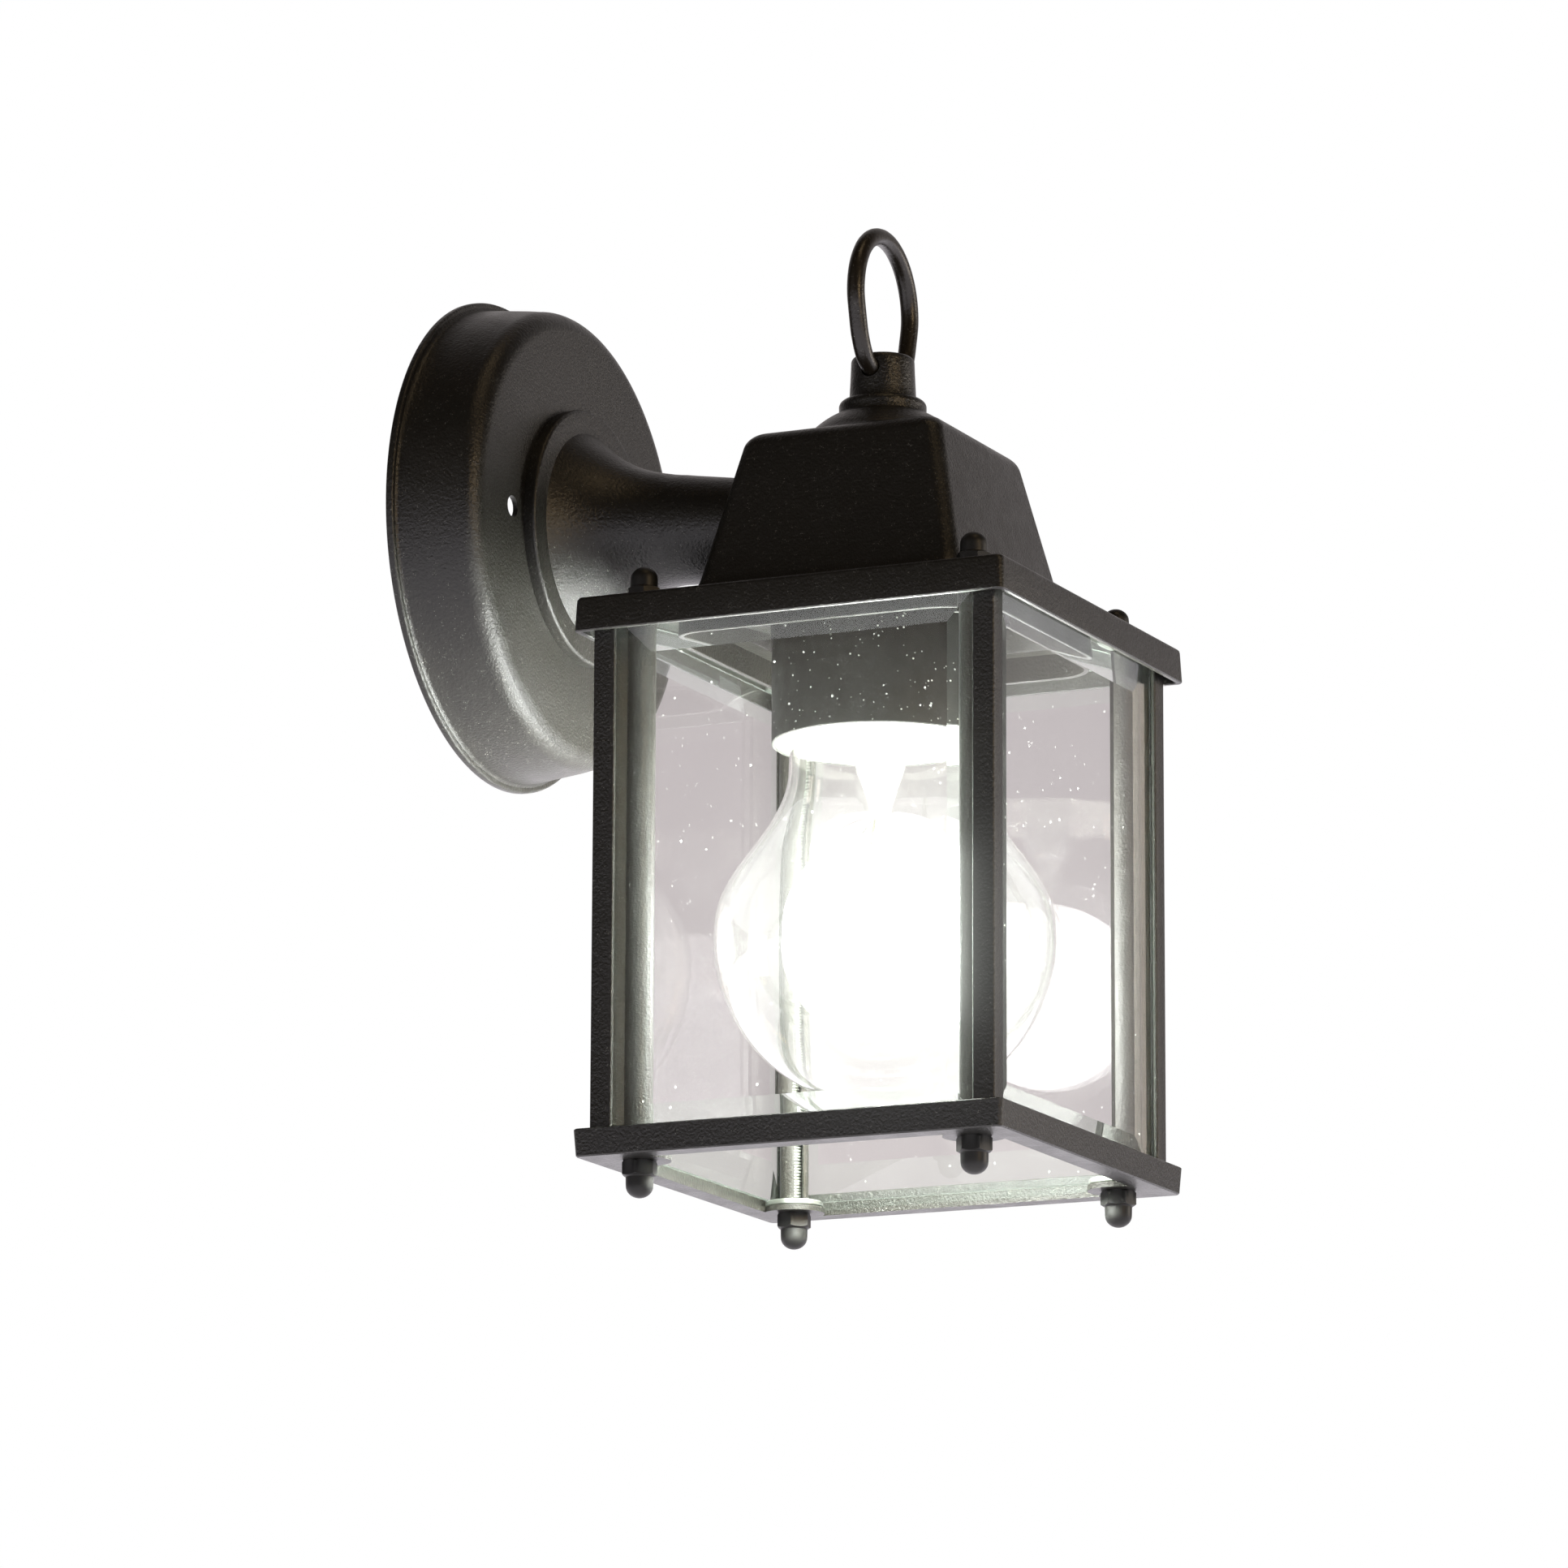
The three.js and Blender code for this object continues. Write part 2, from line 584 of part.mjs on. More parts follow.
// A pane for the -Y side: flat outside, bevelled all round on its inner face.
function makePane(name, quarter) {
  const bottom = POST_BOTTOM;
  const tall = POST_TOP - bottom;
  const middle = bottom + tall / 2;
  const flatHalf = PANE_HALF - PANE_BEVEL;
  const flatTall = tall / 2 - PANE_BEVEL;
  const rings = [
    [PANE_HALF, tall / 2, 0],
    [PANE_HALF, tall / 2, PANE_EDGE],
    [flatHalf, flatTall, PANE_THICK],
  ];
  const glass = new THREE.BoxGeometry(2, 2, 2, 1, 2, 1);
  const position = glass.attributes.position;
  for (let i = 0; i < position.count; i += 1) {
    const [halfX, halfZ, depth] = rings[Math.round(position.getY(i)) + 1];
    const x = position.getX(i) * halfX;
    const z = middle + position.getZ(i) * halfZ;
    position.setXYZ(i, x, -PANE_OUTER + depth, z);
  }
  const mesh = piece(`glass_pane_${name}`, glass, GLASS());
  mesh.rotation.z = (quarter * Math.PI) / 2;
  return mesh;
}

function makeBottomFrame() {
  const body = squareLoft([
    { z: FRAME_BOTTOM, half: FRAME_BOTTOM_HALF - 0.3, radius: 1.2 },
    { z: FRAME_BOTTOM + 0.3, half: FRAME_BOTTOM_HALF, radius: 1.5 },
    { z: FRAME_TOP, half: FRAME_TOP_HALF, radius: 1.5 },
  ]);
  const pocket = squareLoft([
    { z: FRAME_BOTTOM + LEDGE_THICK, half: FRAME_BOTTOM_HALF - FRAME_WALL, radius: 1 },
    { z: FRAME_TOP + 1, half: FRAME_TOP_HALF - FRAME_WALL, radius: 1 },
  ]);
  const opening = squareLoft([
    { z: FRAME_BOTTOM - 1, half: LEDGE_INNER, radius: 1 },
    { z: FRAME_TOP + 1, half: LEDGE_INNER, radius: 1 },
  ]);
  let frame = cut(solid(body), solid(pocket), solid(opening));
  for (const { sx, sy } of CORNERS) {
    const ear = rod(EAR_R, FRAME_BOTTOM, FRAME_BOTTOM + LEDGE_THICK, 24);
    frame = frame.add(solid(ear.translate(sx * ROD_AT, sy * ROD_AT, 0)));
  }
  for (const { sx, sy } of CORNERS) {
    const hole = rod(ROD_HOLE_R, FRAME_BOTTOM - 2, FRAME_TOP);
    frame = frame.subtract(solid(hole.translate(sx * ROD_AT, sy * ROD_AT, 0)));
  }
  return piece("bottom_frame", frame, BRONZE());
}

// ---- Lampholder ---------------------------------------------------------------------------------
function makeSleeve() {
  const inner = SLEEVE_R - SLEEVE_WALL;
  const profile = [
    v2(inner, SLEEVE_BOTTOM),
    v2(SLEEVE_R, SLEEVE_BOTTOM),
    v2(SLEEVE_R, SLEEVE_TOP - 0.8),
    v2(SLEEVE_R - 0.8, SLEEVE_TOP),
    v2(HOLDER_THREAD_R + GAP, SLEEVE_TOP),
    v2(HOLDER_THREAD_R + GAP, HOLDER_SHOULDER + GAP),
    v2(inner, HOLDER_SHOULDER + GAP),
    v2(inner, SLEEVE_BOTTOM),
  ];
  return piece("socket_sleeve", turned(profile), NUT_BLACK());
}

function makeHolderBody() {
  const profile = [
    v2(HOLDER_CAVITY_R, HOLDER_BOTTOM),
    v2(HOLDER_R, HOLDER_BOTTOM),
    v2(HOLDER_R, HOLDER_SHOULDER),
    v2(HOLDER_THREAD_R, HOLDER_SHOULDER),
    v2(HOLDER_THREAD_R, 17),
    v2(HOLDER_NECK_R, 18),
    v2(HOLDER_NECK_R, HOLDER_TOP - 1),
    v2(HOLDER_NECK_R - 1, HOLDER_TOP),
    v2(1.6, HOLDER_TOP),
    v2(1.6, HOLDER_CAVITY_TOP),
    v2(HOLDER_CAVITY_R, HOLDER_CAVITY_TOP),
    v2(HOLDER_CAVITY_R, HOLDER_BOTTOM),
  ];
  let body = solid(turned(profile));
  for (const side of [-1, 1]) {
    const screwHole = rod(1.8, HOLDER_TOP - 3.2, HOLDER_TOP + 2).translate(side * BRACKET_SCREW_X, 0, 0);
    const leadHole = rod(LEAD_R + GAP, HOLDER_TOP - 3, HOLDER_TOP + 2).translate(side * 4.5, 9, 0);
    body = cut(body, solid(screwHole), solid(leadHole));
  }
  return piece("lampholder_body", body, PORCELAIN());
}

function makeShadeRing() {
  const bottom = SLEEVE_TOP + GAP;
  const ring = tube(21, HOLDER_THREAD_R + GAP, bottom, bottom + 4, 32);
  return piece("shade_ring", ring, PORCELAIN());
}

function makeHolderShell() {
  const inner = SHELL_R - 0.6; // the thread's depth counts as wall
  const lid = 0.3;
  const profile = [
    v2(inner, HOLDER_BOTTOM + 0.6),
    v2(SHELL_R, HOLDER_BOTTOM + 0.6),
    v2(SHELL_R, SHELL_TOP),
    v2(SHELL_HOLE_R, SHELL_TOP),
    v2(SHELL_HOLE_R, SHELL_TOP - lid),
    v2(inner, SHELL_TOP - lid),
    v2(inner, HOLDER_BOTTOM + 0.6),
  ];
  return piece("lampholder_shell", turned(profile, 28), BRASS());
}

function makeCentreContact() {
  const profile = [
    v2(0, 22.6),
    v2(4.6, 22.6),
    v2(4.6, 23.2),
    v2(1.2, 23.2),
    v2(1.2, HOLDER_TOP + 0.3),
    v2(0, HOLDER_TOP + 0.3),
  ];
  return piece("centre_contact", turned(profile, SMALL_ROUND), BRASS());
}

const BRACKET_SCREW_X = 9.8;
const BRACKET_TOP = ROOF_TALL - ROOF_WALL - GAP;
const BRACKET_SHEET = 1.3;
const BRACKET_HALF = 14.6;

// A bent strap: its web hangs from the finial's stud and its feet carry the lampholder.
function makeBracket() {
  const foot = HOLDER_TOP + GAP;
  const wide = 6;
  const web = block(-BRACKET_HALF, BRACKET_HALF, -wide, wide, BRACKET_TOP - BRACKET_SHEET, BRACKET_TOP);
  let strap = solid(web).subtract(solid(rod(FINIAL_STUD_R + GAP, 30, 50)));
  for (const side of [-1, 1]) {
    const edge = BRACKET_HALF - BRACKET_SHEET;
    const x = side < 0 ? [-BRACKET_HALF, -edge] : [edge, BRACKET_HALF];
    const leg = block(...x, -wide, wide, foot, BRACKET_TOP);
    const f = side < 0 ? [-BRACKET_HALF, -6] : [6, BRACKET_HALF];
    const pad = block(...f, -wide, wide, foot, foot + BRACKET_SHEET);
    const hole = rod(1.8, foot - 1, foot + 3).translate(side * BRACKET_SCREW_X, 0, 0);
    strap = join(strap, solid(leg), solid(pad)).subtract(solid(hole));
  }
  return piece("lampholder_bracket", strap, STEEL());
}

function makeBracketScrews() {
  const seat = HOLDER_TOP + GAP + BRACKET_SHEET + GAP;
  const profile = [
    v2(0, HOLDER_TOP - 3),
    v2(1.45, HOLDER_TOP - 3),
    v2(1.45, seat),
    v2(2.9, seat),
    v2(2.9, seat + 1.2),
    v2(2, seat + 2),
    v2(0, seat + 2),
  ];
  return ["left", "right"].map((name, i) => {
    const screw = piece(`bracket_screw_${name}`, turned(profile, SMALL_ROUND), STEEL());
    screw.position.x = (i ? 1 : -1) * BRACKET_SCREW_X;
    return screw;
  });
}

// ---- Bulb ---------------------------------------------------------------------------------------
// The outline of the glass, from the bottom pole up to the cap; inset moves it inwards.
function bulbOutline(inset) {
  const globe = arc(0, BULB_CENTRE, BULB_R - inset, -90, 8, 8);
  const start = globe[globe.length - 1];
  const lean = THREE.MathUtils.degToRad(8);
  const shoulder = new THREE.CubicBezierCurve(
    start,
    v2(start.x - 11 * Math.sin(lean), start.y + 11 * Math.cos(lean)),
    v2(BULB_NECK_R - inset, -47),
    v2(BULB_NECK_R - inset, -34),
  );
  const neck = new THREE.CubicBezierCurve(
    v2(BULB_NECK_R - inset, -34),
    v2(BULB_NECK_R - inset, -18),
    v2(BULB_SEAL_R - inset, -14),
    v2(BULB_SEAL_R - inset, CAP_BOTTOM - 1.5),
  );
  const rim = v2(BULB_SEAL_R - inset, CAP_BOTTOM + 4);
  return [...globe, ...shoulder.getPoints(5).slice(1), ...neck.getPoints(4).slice(1), rim];
}

function makeBulbGlass() {
  const outer = bulbOutline(0);
  const inner = bulbOutline(BULB_GLASS).reverse();
  return piece("bulb_glass", turned([...outer, ...inner], 28), GLASS());
}

function makeBulbCap() {
  const wall = 0.4;
  const profile = [
    v2(CAP_R - wall, CAP_BOTTOM),
    v2(CAP_R, CAP_BOTTOM),
    v2(CAP_R, CAP_TOP - 3),
    v2(CAP_R - 3, CAP_TOP),
    v2(5.3, CAP_TOP),
    v2(5.3, CAP_TOP - wall),
    v2(CAP_R - 3 - wall, CAP_TOP - wall),
    v2(CAP_R - wall, CAP_TOP - 3 - wall),
    v2(CAP_R - wall, CAP_BOTTOM),
  ];
  return piece("bulb_cap", turned(profile, 28), BRASS());
}

function makeBulbInsulator() {
  const profile = [v2(0, CAP_TOP - 1), v2(4.9, CAP_TOP - 1), v2(4.9, CAP_TOP + 0.5)];
  profile.push(v2(4.2, CAP_TOP + 1.6), v2(0, CAP_TOP + 1.6));
  return piece("bulb_insulator", turned(profile, SMALL_ROUND), finish(0x1c1a1e, 0.2, 0));
}

function makeBulbContact() {
  const bottom = CAP_TOP + 1.9;
  const profile = [v2(0, bottom), v2(3.2, bottom), v2(2.6, bottom + 0.5), v2(0, bottom + 0.6)];
  return piece("bulb_contact", turned(profile, SMALL_ROUND), STEEL());
}

const STEM_TIP = -46;

function makeStem() {
  const profile = [
    v2(0, STEM_TIP),
    v2(1.6, STEM_TIP + 0.6),
    v2(2, STEM_TIP + 6),
    v2(3.4, -22),
    v2(5, -10),
    v2(10.2, -3),
    v2(9.2, -2.4),
    v2(0, -9),
  ];
  return piece("bulb_stem", turned(profile, 16), GLASS());
}

// Two lead-in wires, left and right of the stem, and the coiled filament that joins their tips.
function makeFilament() {
  const points = [
    v3(-3.3, 0, -38),
    v3(-6, 0, -50),
    v3(-13, 0, -60),
    v3(-11.6, 5.8, -61),
    v3(-5, 11.6, -61),
    v3(5, 11.6, -61),
    v3(11.6, 5.8, -61),
    v3(13, 0, -60),
    v3(6, 0, -50),
    v3(3.3, 0, -38),
  ];
  return piece("bulb_filament", wire(0.6, points, 36, 6), STEEL());
}

// ---- Leads --------------------------------------------------------------------------------------
const BLOCK_TOP = -25;
const BLOCK_Y = -14.5;

function leadToHolder(side) {
  const holderY = -WALL_TO_AXIS + 9;
  const up = HOLDER_TOP - FLANGE_BELOW_ARM;
  return [
    v3(side * 4.5, holderY, up - 2.6),
    v3(side * 4.5, holderY, up + 1),
    v3(side * 4.2, holderY + 1.6, up + 3.6),
    v3(side * 3.2, holderY + 5.2, up + 3.4),
    v3(side * 2, holderY + 9, up + 0.6),
    v3(side * 1.7, -74, -0.6),
    v3(side * 1.7, -66, -0.6),
    v3(side * 1.8, -56, -0.6),
    v3(side * 2.2, -40, -1),
    v3(side * 3, -26, -2),
    v3(side * 4, -18, -5.4),
    v3(side * 5.4, BLOCK_Y, -12),
    v3(side * 6, BLOCK_Y, -20),
    v3(side * 6, BLOCK_Y, BLOCK_TOP - 3.4),
  ];
}

function earthPoints() {
  const [x, z] = armScrewPlaces()[0];
  const tagY = -(DRUM_DEPTH - SHEET - GAP - 0.5);
  return [
    v3(0, BLOCK_Y, BLOCK_TOP - 3.4),
    v3(0, BLOCK_Y, BLOCK_TOP + 2),
    v3(0.4, BLOCK_Y + 1, BLOCK_TOP + 5),
    v3(3.5, BLOCK_Y + 4, -16),
    v3(12, BLOCK_Y + 4, -8),
    v3(21, BLOCK_Y + 1, -2),
    v3(x + 7.3, tagY + 1.2, z - 5.6),
    v3(x + 5.2, tagY + 1.7, z - 3.6),
  ];
}

function makeLeads() {
  const run = { live: leadToHolder(-1), neutral: leadToHolder(1), earth: earthPoints() };
  return Object.entries(run).map(([name, points]) => {
    const steps = name === "earth" ? 18 : 38;
    return piece(`lead_${name}`, wire(LEAD_R, points, steps), finish(LEAD_COLOURS[name], 0.45, 0));
  });
}

// A three-pole block with a wire entry above and below each pole and an ear for the arm screw.
function makeTerminalBlock() {
  const front = -(DRUM_DEPTH - SHEET - GAP);
  const back = front + 9;
  const bottom = BLOCK_TOP - 11;
  const ear = block(-4.5, 4.5, front, front + 1.5, BLOCK_TOP - 2, 4.5 - ARM_SCREW_RING);
  let body = join(solid(block(-9.5, 9.5, front, back, bottom, BLOCK_TOP)), solid(ear));
  for (const x of [-6, 0, 6]) {
    const entries = rod(LEAD_R + 0.35, BLOCK_TOP - 4, BLOCK_TOP + 8).translate(x, BLOCK_Y, 0);
    const supply = rod(LEAD_R + 0.35, bottom - 8, bottom + 4).translate(x, BLOCK_Y, 0);
    const well = rod(1.6, 6, 14).rotateX(Math.PI / 2).translate(x, back + 12.5, bottom + 5.5);
    body = cut(body, solid(entries), solid(supply), solid(well));
  }
  const screw = rod(ARM_SCREW_R + GAP, -40, 40).rotateX(Math.PI / 2);
  body = body.subtract(solid(screw.translate(0, 0, -ARM_SCREW_RING)));
  return piece("terminal_block", body, NYLON());
}

function makeEarthTag() {
  const [x, z] = armScrewPlaces()[0];
  const seat = DRUM_DEPTH - SHEET - GAP;
  const plate = solid(rod(4, seat - 1, seat, 24));
  const tail = solid(block(2, 7.5, -1.6, 1.6, seat - 1, seat).rotateZ(THREE.MathUtils.degToRad(-35)));
  const tag = join(plate, tail).subtract(solid(rod(ARM_SCREW_R + GAP, 0, 40)));
  return piece("earth_tag", facingOut(geometryOf(tag)).translate(x, 0, z), BRASS());
}

// ---- Assembly -----------------------------------------------------------------------------------
function makeLantern() {
  const lantern = new THREE.Group();
  lantern.position.set(0, -WALL_TO_AXIS, -FLANGE_BELOW_ARM);
  lantern.add(makeRoof(), makeFinial(), makeFinialNut(), makeRing(), makeBottomFrame());
  for (const corner of CORNERS) {
    lantern.add(makePost(corner), makeTieRod(corner), makeTopNut(corner), makeBottomNut(corner));
    lantern.add(makeWasher(corner, "lower", FRAME_BOTTOM + LEDGE_THICK + GAP));
    lantern.add(makeWasher(corner, "upper", PLATE_UNDERSIDE - GAP - WASHER_THICK));
  }
  ["front", "right", "rear", "left"].forEach((name, i) => lantern.add(makePane(name, i)));
  lantern.add(makeSleeve(), makeHolderBody(), makeShadeRing(), makeHolderShell());
  lantern.add(makeCentreContact(), makeBracket(), ...makeBracketScrews());
  lantern.add(makeBulbGlass(), makeBulbCap(), makeBulbInsulator(), makeBulbContact());
  lantern.add(makeStem(), makeFilament());
  return lantern;
}

const wallLantern = new THREE.Group();
wallLantern.add(makeCanopy(), makeArm(), ...makeArmScrews(), makeNipple(), makeNippleNut());
wallLantern.add(...makeLeads(), makeTerminalBlock(), makeEarthTag(), makeLantern());

export default wallLantern;
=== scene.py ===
"""Looks of an outdoor wall lantern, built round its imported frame.

Sizes inside the classes are in millimetres and the meshes are in metres, in the frame's own axes: +Y goes
into the wall, +Z is up, and the lantern hangs on the -Y side.
"""

from __future__ import annotations

import logging
import math
from dataclasses import dataclass, field
from enum import Enum
from typing import Callable, Iterable, Sequence

import bmesh
import bpy
from mathutils import Matrix, Vector

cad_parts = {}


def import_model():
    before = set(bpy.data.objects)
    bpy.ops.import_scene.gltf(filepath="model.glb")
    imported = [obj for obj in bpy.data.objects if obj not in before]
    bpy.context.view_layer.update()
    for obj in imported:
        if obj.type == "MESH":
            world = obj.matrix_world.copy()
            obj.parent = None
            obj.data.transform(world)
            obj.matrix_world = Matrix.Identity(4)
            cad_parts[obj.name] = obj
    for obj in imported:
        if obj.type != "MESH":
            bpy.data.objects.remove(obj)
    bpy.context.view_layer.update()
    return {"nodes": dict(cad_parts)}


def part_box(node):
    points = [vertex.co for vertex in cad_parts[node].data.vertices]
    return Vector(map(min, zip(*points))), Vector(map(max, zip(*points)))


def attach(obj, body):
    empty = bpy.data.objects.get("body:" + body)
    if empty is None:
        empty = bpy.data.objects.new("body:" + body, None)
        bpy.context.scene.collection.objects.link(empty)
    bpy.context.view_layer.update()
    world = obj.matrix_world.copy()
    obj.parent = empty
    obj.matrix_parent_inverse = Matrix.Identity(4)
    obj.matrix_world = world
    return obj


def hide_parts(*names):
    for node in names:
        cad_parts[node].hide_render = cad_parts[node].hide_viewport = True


LOG = logging.getLogger("wall_lantern")

MM = 0.001
CRISP = 35.0  # edges that turn more than this many degrees stay crisp
FIXTURE = "fixture"
RING_BODY = "ring"
BULB_BODY = "bulb"
CORNERS = {
    "front_left": (-1, -1),
    "front_right": (1, -1),
    "rear_right": (1, 1),
    "rear_left": (-1, 1),
}
SIDES = ("front", "right", "rear", "left")
ROD_AT = 40.12  # how far the four tie rods stand from the upright axis, in X and in Y
LEAD_BORE_R = 5.3  # the bore for the leads through the arm and the roof's rear wall
ARM_SCREW_RING = 15.5  # the circle that the arm's three screws stand on
ARM_SCREW_ANGLES = (30, 150, 270)
CAP_PITCH = 3.63  # the coarse thread that the bulb's cap and its shell share

Point = tuple[float, float, float]
Profile = list[tuple[float, float]]
Ring = list[Point]
Colour = tuple[float, float, float, float]


# ---- Colour and node helpers --------------------------------------------------------------------
def linear(hex_value: int) -> Colour:
    """Turns an sRGB hex colour into linear values.

    Args:
        hex_value: The colour as 0xRRGGBB.

    Returns:
        Red, green, blue and an alpha of one, for a shader socket.
    """
    parts = []
    for shift in (16, 8, 0):
        value = ((hex_value >> shift) & 255) / 255
        parts.append(value / 12.92 if value <= 0.04045 else ((value + 0.055) / 1.055) ** 2.4)
    return parts[0], parts[1], parts[2], 1.0


def add(
    tree: bpy.types.NodeTree, kind: str, inputs: dict | None = None, **settings: object
) -> bpy.types.Node:
    """Adds one node.

    Args:
        tree: The node tree that gets the node.
        kind: The node's type name.
        inputs: Input name or number to a value, or to the output socket that feeds it.
        **settings: Properties of the node.

    Returns:
        The new node.
    """
    node = tree.nodes.new(kind)
    for name, value in settings.items():
        setattr(node, name, value)
    for key, value in (inputs or {}).items():
        if isinstance(value, bpy.types.NodeSocket):
            tree.links.new(value, node.inputs[key])
        else:
            node.inputs[key].default_value = value
    return node


# ---- Patterns -----------------------------------------------------------------------------------
def laid(tree: bpy.types.NodeTree, size_mm: float) -> dict:
    """The inputs that lay a texture on a piece, its features this many millimetres across."""
    return {"Vector": add(tree, "ShaderNodeTexCoord").outputs["Object"], "Scale": 1 / (size_mm * MM)}


@dataclass(frozen=True)
class Grain:
    """An uneven pattern: its size, how many finer layers it has, and how much each one keeps."""

    size_mm: float
    layers: float = 2.0
    keep: float = 0.5

    def inputs(self, tree: bpy.types.NodeTree) -> dict:
        """The pattern's inputs, for a noise."""
        return laid(tree, self.size_mm) | {"Detail": self.layers, "Roughness": self.keep}

    def drift(
        self, tree: bpy.types.NodeTree, low: float, high: float, start: float = 0.3, end: float = 0.7
    ) -> bpy.types.NodeSocket:
        """A value that drifts with the pattern.

        Args:
            tree: The material's node tree.
            low: The value where the pattern is at start or below.
            high: The value where the pattern is at end or above.
            start: The pattern's lower limit.
            end: The pattern's upper limit.

        Returns:
            The drifting value.
        """
        pattern = add(tree, "ShaderNodeTexNoise", self.inputs(tree)).outputs["Fac"]
        limits = {"Value": pattern, "From Min": start, "From Max": end, "To Min": low, "To Max": high}
        return add(tree, "ShaderNodeMapRange", limits).outputs["Result"]

    def tones(self, tree: bpy.types.NodeTree, first: int, second: int) -> bpy.types.NodeSocket:
        """A colour that wanders between two hex tones."""
        pattern = add(tree, "ShaderNodeTexNoise", self.inputs(tree)).outputs["Fac"]
        mix = {0: pattern, 6: linear(first), 7: linear(second)}
        return add(tree, "ShaderNodeMix", mix, data_type="RGBA").outputs[2]

    def relief(
        self, tree: bpy.types.NodeTree, strength: float, depth_mm: float
    ) -> bpy.types.NodeSocket:
        """A normal that rises and falls with the pattern."""
        pattern = add(tree, "ShaderNodeTexNoise", self.inputs(tree)).outputs["Fac"]
        bump = {"Height": pattern, "Strength": strength, "Distance": depth_mm * MM}
        return add(tree, "ShaderNodeBump", bump).outputs["Normal"]


@dataclass(frozen=True)
class Specks:
    """Small round specks that gather in patches. Core and rim are shares of the specks' spacing."""

    spacing_mm: float
    strongest: float
    core: float
    rim: float
    patches: Grain
    gate: tuple[float, float]

    def share(self, tree: bpy.types.NodeTree) -> bpy.types.NodeSocket:
        """How much of the surface the specks cover, from 0 to the strongest."""
        cells = add(tree, "ShaderNodeTexVoronoi", laid(tree, self.spacing_mm)).outputs["Distance"]
        limits = {"Value": cells, "From Min": self.core, "From Max": self.rim}
        limits |= {"To Min": self.strongest, "To Max": 0.0}
        dot = add(tree, "ShaderNodeMapRange", limits).outputs["Result"]
        patch = self.patches.drift(tree, 0.0, 1.0, *self.gate)
        return add(tree, "ShaderNodeMath", {0: dot, 1: patch}, operation="MULTIPLY").outputs[0]


# ---- Finishes -----------------------------------------------------------------------------------
class Finish:
    """Something that a surface is finished in. Each finish makes its material once."""

    name: str
    _made: dict[str, bpy.types.Material] = {}

    def material(self) -> bpy.types.Material:
        """The finish's material, made on first use."""
        if self.name not in self._made:
            made = bpy.data.materials.new(self.name)
            made.use_nodes = True
            made.node_tree.nodes.clear()
            surface = self.shade(made.node_tree)
            add(made.node_tree, "ShaderNodeOutputMaterial", {"Surface": surface})
            self._made[self.name] = made
        return self._made[self.name]

    def shade(self, tree: bpy.types.NodeTree) -> bpy.types.NodeSocket:
        """Builds the nodes and returns the surface's shader output."""
        raise NotImplementedError


@dataclass(frozen=True)
class PowderCoat(Finish):
    """Polyester powder coat, sprayed and baked.

    It gives a satin skin with an orange peel, slow warm clouding and sparse metallic flakes. Real
    peel and flakes are finer than a render can show, so both are drawn as coarse as they need.
    """

    name: str = "powder_coat_dark_bronze"
    colour: int = 0x0F0F0D
    warm: int = 0x151411
    metallic: float = 0.15
    rough: tuple[float, float] = (0.29, 0.37)
    peel_mm: float = 0.7
    peel_depth_mm: float = 0.36
    flake_mm: float = 0.42
    flake: int = 0xA2A29A

    def shade(self, tree: bpy.types.NodeTree) -> bpy.types.NodeSocket:
        """Dark binder with clouding, flakes and a peel in the normal."""
        tone = Grain(26.0, 3.0, 0.6).tones(tree, self.colour, self.warm)
        flakes = Specks(self.flake_mm, 0.4, 0.05, 0.3, Grain(1.3, 1.0), (0.56, 0.66))
        mix = {0: flakes.share(tree), 6: tone, 7: linear(self.flake)}
        values = {"Base Color": add(tree, "ShaderNodeMix", mix, data_type="RGBA").outputs[2]}
        values["Normal"] = Grain(self.peel_mm, 3.0, 0.6).relief(tree, 0.55, self.peel_depth_mm)
        values["Roughness"] = Grain(5.0, 3.0).drift(tree, *self.rough)
        values["Metallic"] = self.metallic
        return add(tree, "ShaderNodeBsdfPrincipled", values).outputs[0]


@dataclass(frozen=True)
class Metal(Finish):
    """Bare or plated metal: slightly uneven colour and gloss, with fine tool marks."""

    name: str
    colour: int
    stain: int
    rough: tuple[float, float]
    metallic: float = 1.0
    marks_mm: float = 0.8
    depth_mm: float = 0.006

    def shade(self, tree: bpy.types.NodeTree) -> bpy.types.NodeSocket:
        """Stained metal with shallow marks in the normal."""
        values = {"Base Color": Grain(7.0, 3.0, 0.6).tones(tree, self.colour, self.stain)}
        values["Normal"] = Grain(self.marks_mm, 3.0, 0.6).relief(tree, 0.5, self.depth_mm)
        values["Roughness"] = Grain(2.4).drift(tree, *self.rough)
        values["Metallic"] = self.metallic
        return add(tree, "ShaderNodeBsdfPrincipled", values).outputs[0]


@dataclass(frozen=True)
class Moulding(Finish):
    """Porcelain, nylon, wire insulation and the sleeve's painted glare: a coloured body with a smooth or
    glazed skin.
    """

    name: str
    colour: int
    shadow: int
    rough: tuple[float, float]
    glaze: float = 0.0
    grain_mm: float = 1.5
    depth_mm: float = 0.01
    ior: float = 1.5

    def shade(self, tree: bpy.types.NodeTree) -> bpy.types.NodeSocket:
        """Even colour with faint clouding under the skin."""
        values = {"Base Color": Grain(9.0).tones(tree, self.colour, self.shadow)}
        values["Normal"] = Grain(self.grain_mm).relief(tree, 0.4, self.depth_mm)
        values["Roughness"] = Grain(4.0).drift(tree, *self.rough)
        values |= {"IOR": self.ior, "Coat Weight": self.glaze, "Coat Roughness": 0.05}
        return add(tree, "ShaderNodeBsdfPrincipled", values).outputs[0]


